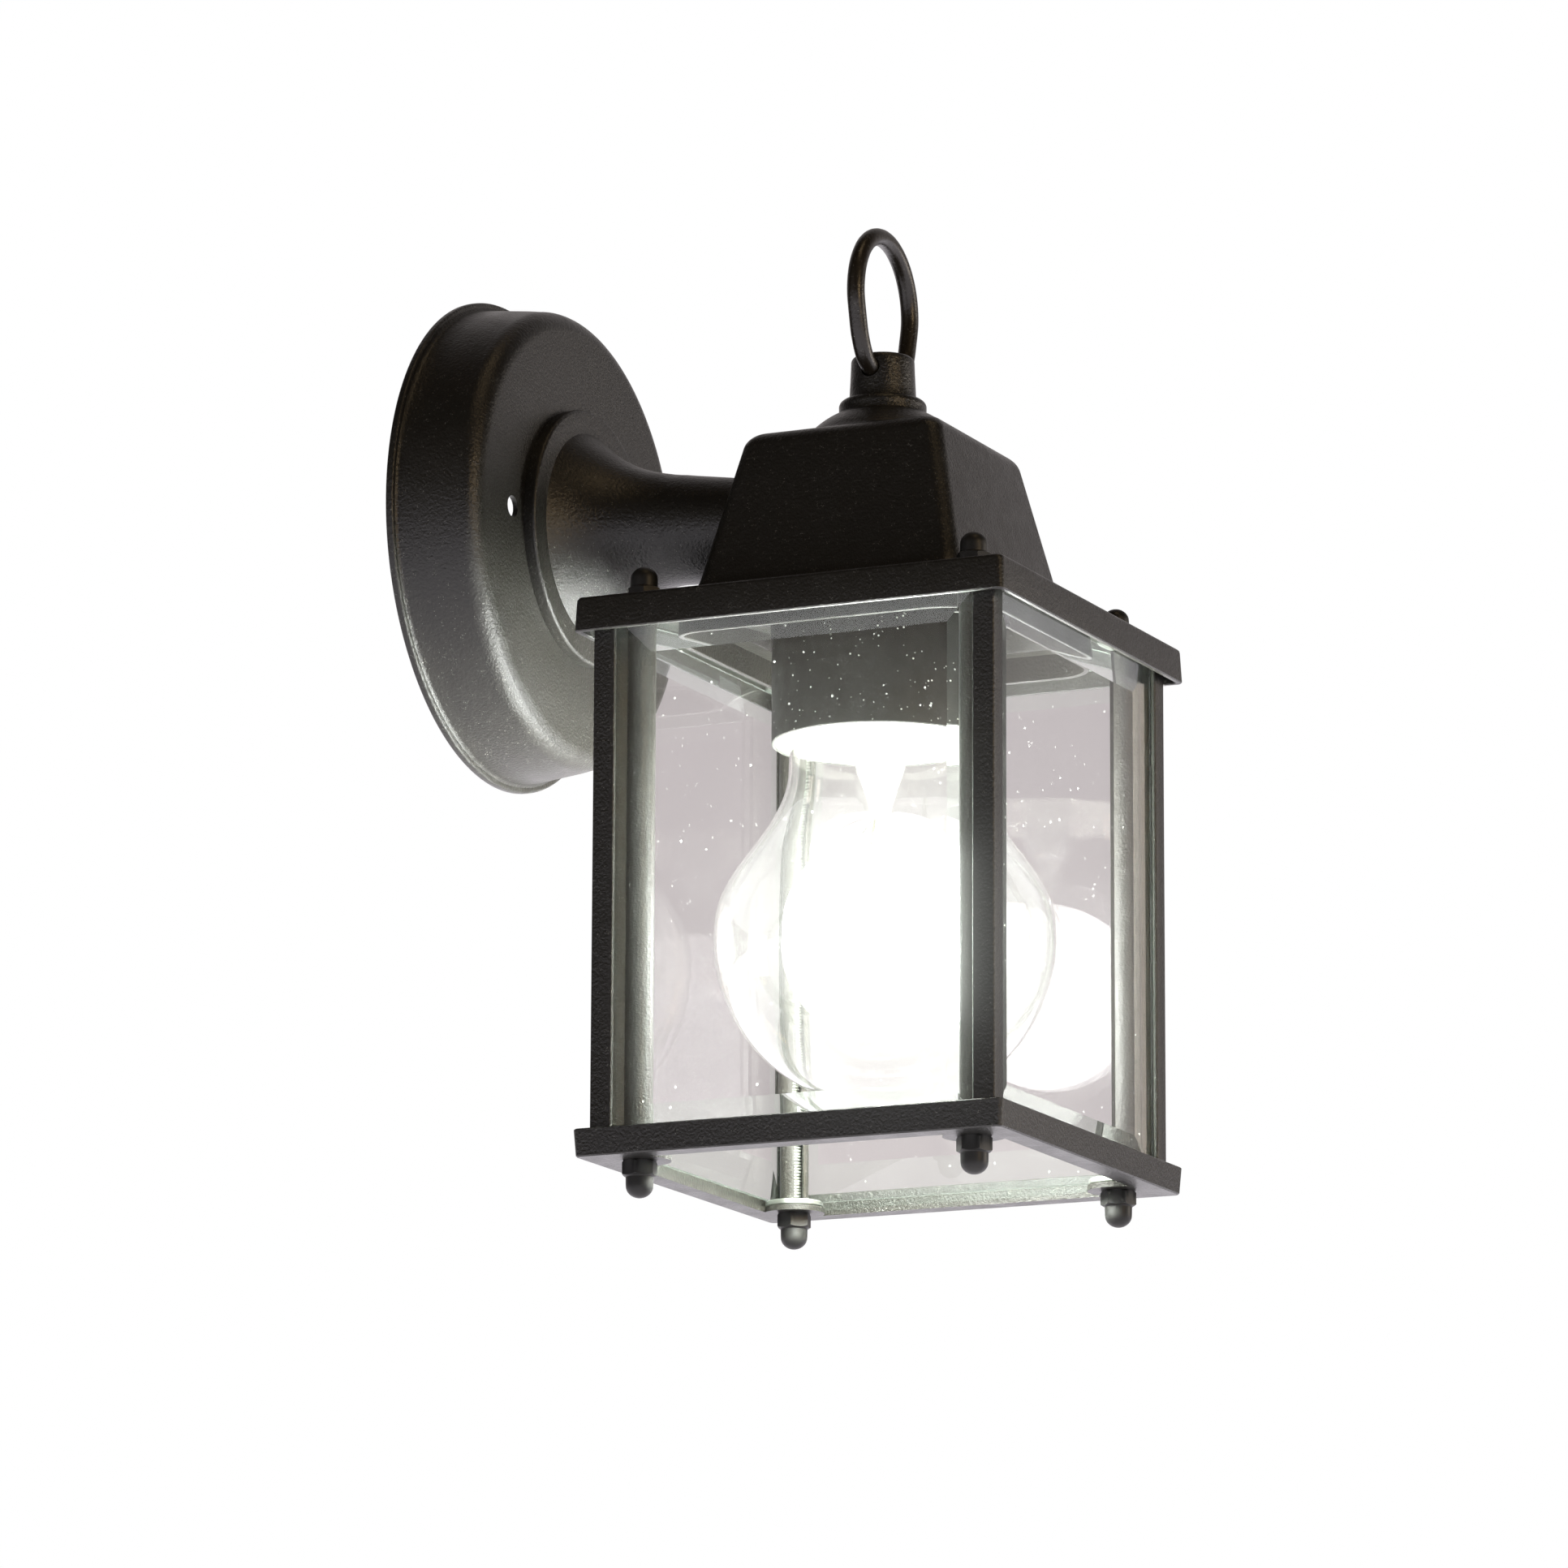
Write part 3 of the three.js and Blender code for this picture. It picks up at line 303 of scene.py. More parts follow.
@dataclass(frozen=True)
class SpeckledLacquer(Finish):
    """Black stoving lacquer on steel, with settled dust: near black, with small pale specks."""

    name: str = "sleeve_black_lacquer"
    colour: int = 0x0C0D0B
    cloud: int = 0x181916
    speck: int = 0xE6E9DE
    speck_mm: float = 1.3
    rough: tuple[float, float] = (0.58, 0.7)
    ripple_mm: float = 0.7
    ripple_depth_mm: float = 0.08
    shine: float = 0.3

    def shade(self, tree: bpy.types.NodeTree) -> bpy.types.NodeSocket:
        """Smeared black, specks that gather in patches, and a ripple in the normal."""
        smear = Grain(4.0, 4.0, 0.65).drift(tree, 0.0, 1.0, 0.35, 0.75)
        mix = {0: smear, 6: linear(self.colour), 7: linear(self.cloud)}
        ground = add(tree, "ShaderNodeMix", mix, data_type="RGBA").outputs[2]
        dust = Specks(self.speck_mm, 0.9, 0.12, 0.2, Grain(2.6, 3.0, 0.6), (0.54, 0.62))
        mix = {0: dust.share(tree), 6: ground, 7: linear(self.speck)}
        values = {"Base Color": add(tree, "ShaderNodeMix", mix, data_type="RGBA").outputs[2]}
        values["Normal"] = Grain(self.ripple_mm, 3.0, 0.6).relief(tree, 0.5, self.ripple_depth_mm)
        values["Roughness"] = Grain(3.0).drift(tree, *self.rough)
        values["Specular IOR Level"] = self.shine
        return add(tree, "ShaderNodeBsdfPrincipled", values).outputs[0]


@dataclass(frozen=True)
class ClearGlass(Finish):
    """Soda-lime glass with a film of dust that lights up near a lamp."""

    name: str
    tint: int
    haze: float
    specks: float = 0.0
    rough: float = 0.0
    ior: float = 1.5
    dust: int = 0xF4F6F2

    def shade(self, tree: bpy.types.NodeTree) -> bpy.types.NodeSocket:
        """Clear glass under thin dust to the eye, and a faint tint to a lamp's rays."""
        values = {"Base Color": linear(self.tint), "Roughness": self.rough, "IOR": self.ior}
        values["Transmission Weight"] = 1.0
        glass = add(tree, "ShaderNodeBsdfPrincipled", values).outputs[0]
        pale = {"Color": linear(self.dust)}
        through = add(tree, "ShaderNodeBsdfTranslucent", pale).outputs[0]
        back = add(tree, "ShaderNodeBsdfDiffuse", pale).outputs[0]
        film = add(tree, "ShaderNodeMixShader", {0: 0.5, 1: through, 2: back}).outputs[0]
        share = self.film_share(tree)
        dusty = add(tree, "ShaderNodeMixShader", {0: share, 1: glass, 2: film}).outputs[0]
        passed = add(tree, "ShaderNodeBsdfTransparent", {"Color": linear(self.tint)}).outputs[0]
        shadow = add(tree, "ShaderNodeLightPath").outputs["Is Shadow Ray"]
        return add(tree, "ShaderNodeMixShader", {0: shadow, 1: dusty, 2: passed}).outputs[0]

    def film_share(self, tree: bpy.types.NodeTree) -> bpy.types.NodeSocket:
        """How much of the surface the dust covers: a thin uneven film and, if asked for, specks."""
        film = Grain(16.0, 4.0, 0.65).drift(tree, self.haze * 0.6, self.haze * 1.5)
        if not self.specks:
            return film
        grains = Specks(3.2, self.specks, 0.05, 0.11, Grain(5.0), (0.52, 0.62)).share(tree)
        return add(tree, "ShaderNodeMath", {0: film, 1: grains}, operation="MAXIMUM").outputs[0]


@dataclass(frozen=True)
class HotWire(Finish):
    """Tungsten at working heat: a white-hot wire that no detail shows in."""

    name: str = "tungsten_lit"
    colour: int = 0x3A3A3C
    glow: int = 0xFFFBF2
    strength: float = 260.0

    def shade(self, tree: bpy.types.NodeTree) -> bpy.types.NodeSocket:
        """Drawn wire that shines."""
        values = {"Base Color": linear(self.colour), "Roughness": 0.5, "Metallic": 1.0}
        values |= {"Emission Color": linear(self.glow), "Emission Strength": self.strength}
        return add(tree, "ShaderNodeBsdfPrincipled", values).outputs[0]


@dataclass(frozen=True)
class FloorPaint(Finish):
    """Matt pale paint that glows a little, so that light comes up to the lantern's undersides."""

    name: str = "pale_floor"
    colour: int = 0xE6E4E6
    glow: int = 0xF3EFF6
    strength: float = 1.6

    def shade(self, tree: bpy.types.NodeTree) -> bpy.types.NodeSocket:
        """Pale paint that shines."""
        values = {"Base Color": linear(self.colour), "Roughness": 0.9}
        values |= {"Emission Color": linear(self.glow), "Emission Strength": self.strength}
        return add(tree, "ShaderNodeBsdfPrincipled", values).outputs[0]


class Finishes(Enum):
    """Every finish on the lantern, with what it gives the eye."""

    # Satin near-black castings whose edges catch the light.
    COAT = PowderCoat()
    # The same coat on drawn wire: glossier and with a flatter peel, and warmer in colour, which is
    # painted sheen: the warm golden gleam on the ring.
    WARM_SHEEN_WIRE_COAT = PowderCoat(
        "powder_coat_bent_wire_painted_sheen", 0x120F0A, 0x1A150D, rough=(0.26, 0.34), peel_depth_mm=0.14
    )
    # Dull black nuts with a soft highlight on the dome.
    BLACK_NUT = Metal("cap_nut_black_zinc", 0x11110F, 0x0B0B0A, (0.4, 0.52), 0.3)
    # Cool, lightly clouded silver on rods, discs and screws.
    ZINC = Metal("zinc_plated_steel", 0x9EA19C, 0x83867F, (0.28, 0.42))
    # Duller and bluer than the zinc, on parts cut from plate.
    STEEL = Metal("rolled_steel_bracket", 0x8E9090, 0x74777A, (0.34, 0.5))
    # Warm yellow contacts with browner stains.
    BRASS = Metal("pressed_brass", 0xB6924E, 0x93713A, (0.26, 0.4))
    # The bulb's cap, the brightest metal, faintly warm.
    NICKEL = Metal("nickel_plated_cap", 0xB9B7AE, 0x9B998F, (0.2, 0.32))
    # A soft grey button.
    SOLDER = Metal("tin_solder", 0x9C9C9A, 0x84847F, (0.3, 0.5))
    # Ivory body under a wet-looking glaze.
    PORCELAIN = Moulding("glazed_porcelain", 0xE9E5DB, 0xDCD7CA, (0.12, 0.2), 0.6)
    # Milky and matt.
    NYLON = Moulding("moulded_nylon", 0xE2E0D6, 0xD2CFC2, (0.42, 0.52))
    # Black glass round the bulb's contact.
    VITRITE = Moulding("black_vitrite", 0x17151A, 0x0F0E12, (0.1, 0.18), 0.4)
    # Rubbery black, white and green skins of the leads.
    LIVE = Moulding("silicone_wire_black", 0x161616, 0x202020, (0.4, 0.5))
    NEUTRAL = Moulding("silicone_wire_white", 0xE0E0DC, 0xD2D2CC, (0.4, 0.5))
    EARTH = Moulding("silicone_wire_green", 0x1F6B31, 0x195628, (0.4, 0.5))
    # The sleeve's flat black outside.
    LACQUER = SpeckledLacquer()
    # The sleeve's inner wall, near white inside the black cup: painted lamp glare, which also throws the
    # lamp's light back down.
    PAINTED_GLARE = Moulding("sleeve_inner_painted_glare", 0xECEBE4, 0xDEDDD2, (0.3, 0.42))
    # The panes' clear faces, with a few lit specks of dust.
    PANE = ClearGlass("float_glass_face", 0xF7F6F8, 0.0003, specks=0.12)
    # The ground rim, frosted and green.
    PANE_EDGE = ClearGlass("float_glass_ground_edge", 0xCDE6DC, 0.02, rough=0.12)
    # The polished slope, a brighter strip beside each post.
    PANE_BEVEL = ClearGlass("float_glass_polished_bevel", 0xEFF6F2, 0.004)
    # Thin clear glass that the lamp burns out to white.
    BULB = ClearGlass("blown_bulb_glass", 0xFCFDFC, 0.0014)
    # Thicker, slightly smoky glass of the stem.
    STEM = ClearGlass("pressed_stem_glass", 0xF4F6F2, 0.02, rough=0.08)
    FILAMENT = HotWire()
    FLOOR = FloorPaint()

    def material(self) -> bpy.types.Material:
        """The finish's material."""
        return self.value.material()


# ---- Mesh helpers -------------------------------------------------------------------------------
@dataclass(frozen=True)
class Datum:
    """Where the lantern's own axes lie in the frame, in millimetres."""

    axis_y: float
    flange_z: float

    @classmethod
    def from_frame(cls) -> Datum:
        """Reads the upright axis and the flange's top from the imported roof."""
        low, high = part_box("roof")
        return cls((low.y + high.y) / 2 / MM, low.z / MM + Roof.flange_tall)

    def lantern(self) -> Matrix:
        """From the lantern's own axes, at the flange's top, to the frame, still in millimetres."""
        return Matrix.Translation((0, self.axis_y, self.flange_z))


FACING_OUT = Matrix.Rotation(math.pi / 2, 4, "X")  # turns +Z to point away from the wall, along -Y


def arc(cx: float, cy: float, radius: float, start: float, end: float, steps: int) -> Profile:
    """Points of a circular arc in a profile, both ends included.

    Args:
        cx: Centre, first coordinate.
        cy: Centre, second coordinate.
        radius: The arc's radius.
        start: Angle of the first point, in degrees.
        end: Angle of the last point, in degrees.
        steps: Number of segments.

    Returns:
        The points in order.
    """
    angles = [math.radians(start + (end - start) * i / steps) for i in range(steps + 1)]
    return [(cx + radius * math.cos(a), cy + radius * math.sin(a)) for a in angles]


def bezier(points: Sequence[tuple[float, float]], steps: int) -> Profile:
    """Points of a cubic curve through its four control points, the first left out."""
    made = []
    for i in range(1, steps + 1):
        t = i / steps
        weights = ((1 - t) ** 3, 3 * t * (1 - t) ** 2, 3 * t * t * (1 - t), t**3)
        made.append(tuple(sum(w * p[k] for w, p in zip(weights, points)) for k in (0, 1)))
    return made


def spun(points: Iterable[tuple[float, float]], angle: float) -> Profile:
    """Points of an outline turned about the origin by an angle in radians."""
    c, s = math.cos(angle), math.sin(angle)
    return [(x * c - y * s, x * s + y * c) for x, y in points]


def plain_ring(radius: float, z: float, sides: int = 72) -> Ring:
    """A level circle."""
    angles = [2 * math.pi * k / sides for k in range(sides)]
    return [(radius * math.cos(a), radius * math.sin(a), z) for a in angles]


def square_ring(half: float, radius: float, z: float, steps: int = 8) -> Ring:
    """A rounded square at height z, anticlockwise from the +X +Y corner."""
    ring = []
    radius = max(radius, 0.02)
    for quarter, (x, y) in enumerate(((1, 1), (-1, 1), (-1, -1), (1, -1))):
        centre = (x * (half - radius), y * (half - radius))
        for a, b in arc(*centre, radius, 90 * quarter, 90 * quarter + 90, steps):
            ring.append((a, b, z))
    return ring


def smooth_path(points: Sequence[Point], steps: int) -> list[Vector]:
    """A centripetal curve through the points.

    Args:
        points: Places the curve passes through.
        steps: Number of segments over the whole curve.

    Returns:
        steps + 1 places along the curve.
    """
    knots = [Vector(p) for p in points]
    spans = len(knots) - 1
    made = []
    for i in range(steps + 1):
        place = i * spans / steps
        k = min(int(place), spans - 1)
        t = place - k
        p1, p2 = knots[k], knots[k + 1]
        p0 = knots[k - 1] if k > 0 else p1 + (p1 - p2)
        p3 = knots[k + 2] if k + 2 <= spans else p2 + (p2 - p1)
        d0, d1, d2 = (max((b - a).length, 1e-4) ** 0.5 for a, b in ((p0, p1), (p1, p2), (p2, p3)))
        m1 = ((p1 - p0) / d0 - (p2 - p0) / (d0 + d1) + (p2 - p1) / d1) * d1
        m2 = ((p2 - p1) / d1 - (p3 - p1) / (d1 + d2) + (p3 - p2) / d2) * d1
        h = (2 * t**3 - 3 * t**2 + 1, t**3 - 2 * t**2 + t, 3 * t**2 - 2 * t**3, t**3 - t**2)
        made.append(h[0] * p1 + h[1] * m1 + h[2] * p2 + h[3] * m2)
    return made


def tube_rings(path: Sequence[Vector], radius: float, sides: int = 12) -> list[Ring]:
    """Rings of a round wire along a path, with a frame carried along it so that it doesn't twist."""
    rings: list[Ring] = []
    side = None
    for i, place in enumerate(path):
        ahead = path[min(i + 1, len(path) - 1)] - path[max(i - 1, 0)]
        ahead.normalize()
        if side is None:
            side = ahead.orthogonal()
        side = (side - ahead * side.dot(ahead)).normalized()
        other = ahead.cross(side)
        ring = []
        for k in range(sides):
            a = 2 * math.pi * k / sides
            ring.append(tuple(place + radius * (math.cos(a) * side + math.sin(a) * other)))
        rings.append(ring)
    return rings


@dataclass
class Shape:
    """A closed mesh under construction, in millimetres in its own axes."""

    verts: list[Point] = field(default_factory=list)
    faces: list[tuple[int, ...]] = field(default_factory=list)
    marks: list[int] = field(default_factory=list)

    def loft(self, rings: Sequence[Ring], wrap: bool = False, mark: int = 0) -> Shape:
        """Joins rings of equal length in order; the ends are closed unless wrap joins them."""
        start, count = len(self.verts), len(rings[0])
        for ring in rings:
            self.verts.extend(ring)
        pairs = [(i, i + 1) for i in range(len(rings) - 1)]
        if wrap:
            pairs.append((len(rings) - 1, 0))
        for a, b in pairs:
            for k in range(count):
                n = (k + 1) % count
                corners = (a * count + k, a * count + n, b * count + n, b * count + k)
                self.faces.append(tuple(start + c for c in corners))
                self.marks.append(mark)
        if not wrap:
            last = start + (len(rings) - 1) * count
            self.faces.append(tuple(start + k for k in reversed(range(count))))
            self.faces.append(tuple(last + k for k in range(count)))
            self.marks.extend((mark, mark))
        return self

    def turned(self, profile: Profile, sides: int = 96, wrap: bool = False) -> Shape:
        """Turns a profile of radius and height about Z; it closes on the axis or on itself."""
        return self.loft([plain_ring(radius, z, sides) for radius, z in profile], wrap)

    def prism(self, outline: Profile, bottom: float, top: float) -> Shape:
        """Pushes an outline straight up."""
        return self.loft([[(x, y, z) for x, y in outline] for z in (bottom, top)])

    def copied(self, matrix: Matrix) -> Shape:
        """The same shape moved by a matrix."""
        moved = [tuple(matrix @ Vector(v)) for v in self.verts]
        return Shape(moved, list(self.faces), list(self.marks))

    def joined(self, other: Shape) -> Shape:
        """This shape with another closed shape beside it."""
        start = len(self.verts)
        self.verts.extend(other.verts)
        self.faces.extend(tuple(start + k for k in face) for face in other.faces)
        self.marks.extend(other.marks)
        return self


def pin(radius: float, low: float, high: float, sides: int = 32) -> Shape:
    """A plain round bar on Z, to drill with or to add."""
    return Shape().turned([(0, low), (radius, low), (radius, high), (0, high)], sides)


def make_object(
    name: str,
    shape: Shape,
    place: Matrix,
    finishes: Sequence[Finishes],
    sharp: float = CRISP,
) -> bpy.types.Object:
    """Turns a shape into an object with its place in its mesh.

    Args:
        name: The piece's name.
        shape: The closed mesh, in millimetres.
        place: From the shape's axes to the frame, in millimetres.
        finishes: One finish for each mark on the faces.
        sharp: Edges that turn more than this many degrees stay crisp.

    Returns:
        The object, at the origin.
    """
    mesh = bpy.data.meshes.new(name)
    work = bmesh.new()
    verts = [work.verts.new(v) for v in shape.verts]
    for corners, mark in zip(shape.faces, shape.marks):
        face = work.faces.new([verts[k] for k in corners])
        face.material_index = mark
    bmesh.ops.remove_doubles(work, verts=work.verts, dist=1e-4)
    bmesh.ops.dissolve_degenerate(work, edges=work.edges, dist=1e-5)
    bmesh.ops.recalc_face_normals(work, faces=work.faces)
    bmesh.ops.transform(work, matrix=Matrix.Scale(MM, 4) @ place, verts=work.verts)
    work.to_mesh(mesh)
    work.free()
    for finish in finishes:
        mesh.materials.append(finish.material())
    mesh.shade_smooth()
    mesh.set_sharp_from_angle(angle=math.radians(sharp))
    made = bpy.data.objects.new(name, mesh)
    bpy.context.scene.collection.objects.link(made)
    return made


def settle(piece: bpy.types.Object) -> bpy.types.Object:
    """Replaces a piece's live modifiers by their result as a plain mesh."""
    bpy.context.view_layer.update()
    graph = bpy.context.evaluated_depsgraph_get()
    result = bpy.data.meshes.new_from_object(piece.evaluated_get(graph), depsgraph=graph)
    piece.modifiers.clear()
    old = piece.data
    piece.data = result
    result.name = piece.name
    bpy.data.meshes.remove(old)
    return piece


def bevelled(piece: bpy.types.Object, width_mm: float) -> bpy.types.Object:
    """Rounds a piece's crisp edges."""
    bevel = piece.modifiers.new("edge", "BEVEL")
    bevel.width = width_mm * MM
    bevel.segments = 2
    bevel.limit_method = "ANGLE"
    bevel.angle_limit = math.radians(CRISP)
    bevel.harden_normals = True
    return settle(piece)


def carved(
    piece: bpy.types.Object, tool: Shape, place: Matrix, operation: str = "DIFFERENCE"
) -> bpy.types.Object:
    """Cuts a shape out of a piece, or adds it with operation UNION."""
    cutter = make_object(piece.name + "_tool", tool, place, [])
    for slot in piece.data.materials:
        cutter.data.materials.append(slot)
    change = piece.modifiers.new("carve", "BOOLEAN")
    change.operation = operation
    change.solver = "EXACT"
    change.object = cutter
    settle(piece)
    bpy.data.objects.remove(cutter)
    piece.data.shade_smooth()
    piece.data.set_sharp_from_angle(angle=math.radians(CRISP))
    return piece


def arm_screw_places() -> list[tuple[float, float]]:
    """Where the arm's three screws stand, as X and Z."""
    angles = [math.radians(a) for a in ARM_SCREW_ANGLES]
    return [(ARM_SCREW_RING * math.cos(a), ARM_SCREW_RING * math.sin(a)) for a in angles]


def hand_over(piece: bpy.types.Object, body: str, slot: str, nodes: Iterable[str]) -> None:
    """Hangs a finished piece on its body and hides the nodes it stands for."""
    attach(piece, body)
    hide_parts(*nodes)
    LOG.info("%s rides on %s, %d faces", piece.name, body, len(piece.data.polygons))


# ---- Geometry Nodes -----------------------------------------------------------------------------
def open_tree(name: str, sizes: Sequence[str]) -> bpy.types.NodeTree:
    """Starts a tree that takes a mesh and these named sizes, and gives a mesh."""
    tree = bpy.data.node_groups.new(name, "GeometryNodeTree")
    tree.interface.new_socket("Geometry", in_out="INPUT", socket_type="NodeSocketGeometry")
    for size in sizes:
        tree.interface.new_socket(size, in_out="INPUT", socket_type="NodeSocketFloat")
    tree.interface.new_socket("Geometry", in_out="OUTPUT", socket_type="NodeSocketGeometry")
    return tree


def close_tree(tree: bpy.types.NodeTree, made: bpy.types.NodeSocket, finish: Finishes) -> None:
    """Ends a tree: what it made becomes real geometry in its finish."""
    real = add(tree, "GeometryNodeRealizeInstances", {"Geometry": made}).outputs["Geometry"]
    dress = {"Geometry": real, "Material": finish.material()}
    dressed = add(tree, "GeometryNodeSetMaterial", dress).outputs["Geometry"]
    add(tree, "NodeGroupOutput", {"Geometry": dressed})


def grown(piece: bpy.types.Object, tree: bpy.types.NodeTree, sizes: dict[str, float]) -> None:
    """Runs a tree on a piece with these sizes, and keeps the result as its plain mesh."""
    change = piece.modifiers.new("grown", "NODES")
    change.node_group = tree
    for item in tree.interface.items_tree:
        if item.in_out == "INPUT" and item.name in sizes:
            change[item.identifier] = sizes[item.name]
    settle(piece)


@dataclass
class CornerSet:
    """Repeats a small part on the lantern's four corner rods, each turned a little differently."""

    most_turn: float = math.radians(24)
    seed: int = 7

    def tree(self, finish: Finishes) -> bpy.types.NodeTree:
        """Builds the tree: a two by two grid of points that carries the incoming mesh."""
        tree = open_tree("corner_set_" + finish.name.lower(), ("Spacing", "Height", "Most turn"))
        given = add(tree, "NodeGroupInput").outputs
        square = {"Size X": given["Spacing"], "Size Y": given["Spacing"]}
        square |= {"Vertices X": 2, "Vertices Y": 2}
        grid = add(tree, "GeometryNodeMeshGrid", square).outputs["Mesh"]
        most = given["Most turn"]
        least = add(tree, "ShaderNodeMath", {0: most, 1: -1.0}, operation="MULTIPLY").outputs[0]
        limits = {2: least, 3: most, "Seed": self.seed}
        turn = add(tree, "FunctionNodeRandomValue", limits, data_type="FLOAT").outputs[1]
        angles = add(tree, "ShaderNodeCombineXYZ", {"Z": turn}).outputs[0]
        copies = {"Points": grid, "Instance": given["Geometry"], "Rotation": angles}
        placed = add(tree, "GeometryNodeInstanceOnPoints", copies).outputs["Instances"]
        lift = add(tree, "ShaderNodeCombineXYZ", {"Z": given["Height"]}).outputs[0]
        move = {"Instances": placed, "Translation": lift, "Local Space": False}
        moved = add(tree, "GeometryNodeTranslateInstances", move).outputs["Instances"]
        close_tree(tree, moved, finish)
        return tree

    def repeat(
        self, name: str, shape: Shape, z: float, datum: Datum, finish: Finishes, turned: bool
    ) -> bpy.types.Object:
        """Makes the four copies as one plain mesh.

        Args:
            name: The piece's name.
            shape: One copy, standing on its own origin.
            z: Height of its origin in the lantern's axes.
            datum: Where the lantern's axes lie.
            finish: The finish of every copy.
            turned: Whether each copy gets its own turn about Z.

        Returns:
            The finished piece.
        """
        piece = make_object(name, shape, Matrix.Identity(4), [finish])
        sizes = {"Spacing": 2 * ROD_AT * MM, "Height": z * MM}
        sizes["Most turn"] = self.most_turn if turned else 0.0
        grown(piece, self.tree(finish), sizes)
        piece.data.transform(Matrix.Translation((0, datum.axis_y * MM, datum.flange_z * MM)))
        piece.data.set_sharp_from_angle(angle=math.radians(CRISP))
        return piece


@dataclass
class CoiledFilament:
    """A tungsten coil that follows an arc round the bulb's stem."""

    arc_radius: float = 13.0
    sweep: float = 200.0
    coil_radius: float = 0.75
    wire_radius: float = 0.24
    turns: int = 62
    points_per_turn: int = 14
    wire_sides: int = 6

    def tree(self) -> bpy.types.NodeTree:
        """Builds the tree: an arc, wound into a coil about its own line, and given its thickness."""
        tree = open_tree("coiled_filament", ("Arc radius", "Coil radius", "Wire radius"))
        given = add(tree, "NodeGroupInput").outputs
        bend = {"Resolution": 64, "Radius": given["Arc radius"]}
        bend["Start Angle"] = math.radians(90 - self.sweep / 2)
        bend["Sweep Angle"] = math.radians(self.sweep)
        line = add(tree, "GeometryNodeCurveArc", bend, mode="RADIUS").outputs["Curve"]
        points = {"Curve": line, "Count": self.turns * self.points_per_turn}
        fine = add(tree, "GeometryNodeResampleCurve", points).outputs["Curve"]
        offset = self.winding(tree, given["Coil radius"])
        wound = add(tree, "GeometryNodeSetPosition", {"Geometry": fine, "Offset": offset})
        circle = {"Resolution": self.wire_sides, "Radius": given["Wire radius"]}
        section = add(tree, "GeometryNodeCurvePrimitiveCircle", circle, mode="RADIUS")
        sweep = {"Curve": wound.outputs["Geometry"], "Profile Curve": section.outputs["Curve"]}
        sweep["Fill Caps"] = True
        solid = add(tree, "GeometryNodeCurveToMesh", sweep).outputs["Mesh"]
        close_tree(tree, solid, Finishes.FILAMENT)
        return tree

    def winding(
        self, tree: bpy.types.NodeTree, radius: bpy.types.NodeSocket
    ) -> bpy.types.NodeSocket:
        """How far each point is pushed off the arc: once round it for every turn of the coil."""
        along = add(tree, "GeometryNodeSplineParameter").outputs["Factor"]
        whole = {0: along, 1: 2 * math.pi * self.turns}
        angle = add(tree, "ShaderNodeMath", whole, operation="MULTIPLY").outputs[0]
        tangent = add(tree, "GeometryNodeInputTangent").outputs[0]
        up = (0.0, 0.0, 1.0)
        pair = {0: tangent, 1: up}
        side = add(tree, "ShaderNodeVectorMath", pair, operation="CROSS_PRODUCT").outputs[0]
        parts = []
        for axis, wave in ((side, "COSINE"), (up, "SINE")):
            size = add(tree, "ShaderNodeMath", {0: angle}, operation=wave).outputs[0]
            reach = add(tree, "ShaderNodeMath", {0: size, 1: radius}, operation="MULTIPLY").outputs[0]
            push = {0: axis, "Scale": reach}
            parts.append(add(tree, "ShaderNodeVectorMath", push, operation="SCALE").outputs[0])
        both = {0: parts[0], 1: parts[1]}
        return add(tree, "ShaderNodeVectorMath", both, operation="ADD").outputs[0]

    def build(self, height: float, datum: Datum) -> bpy.types.Object:
        """Makes the coil at this height on the lantern's axis."""
        mesh = bpy.data.meshes.new("bulb_filament_coil")
        piece = bpy.data.objects.new("bulb_filament_coil", mesh)
        bpy.context.scene.collection.objects.link(piece)
        sizes = {"Arc radius": self.arc_radius * MM, "Coil radius": self.coil_radius * MM}
        sizes["Wire radius"] = self.wire_radius * MM
        grown(piece, self.tree(), sizes)
        place = Vector((0, datum.axis_y, datum.flange_z + height)) * MM
        piece.data.transform(Matrix.Translation(place))
        piece.data.shade_smooth()
        return piece


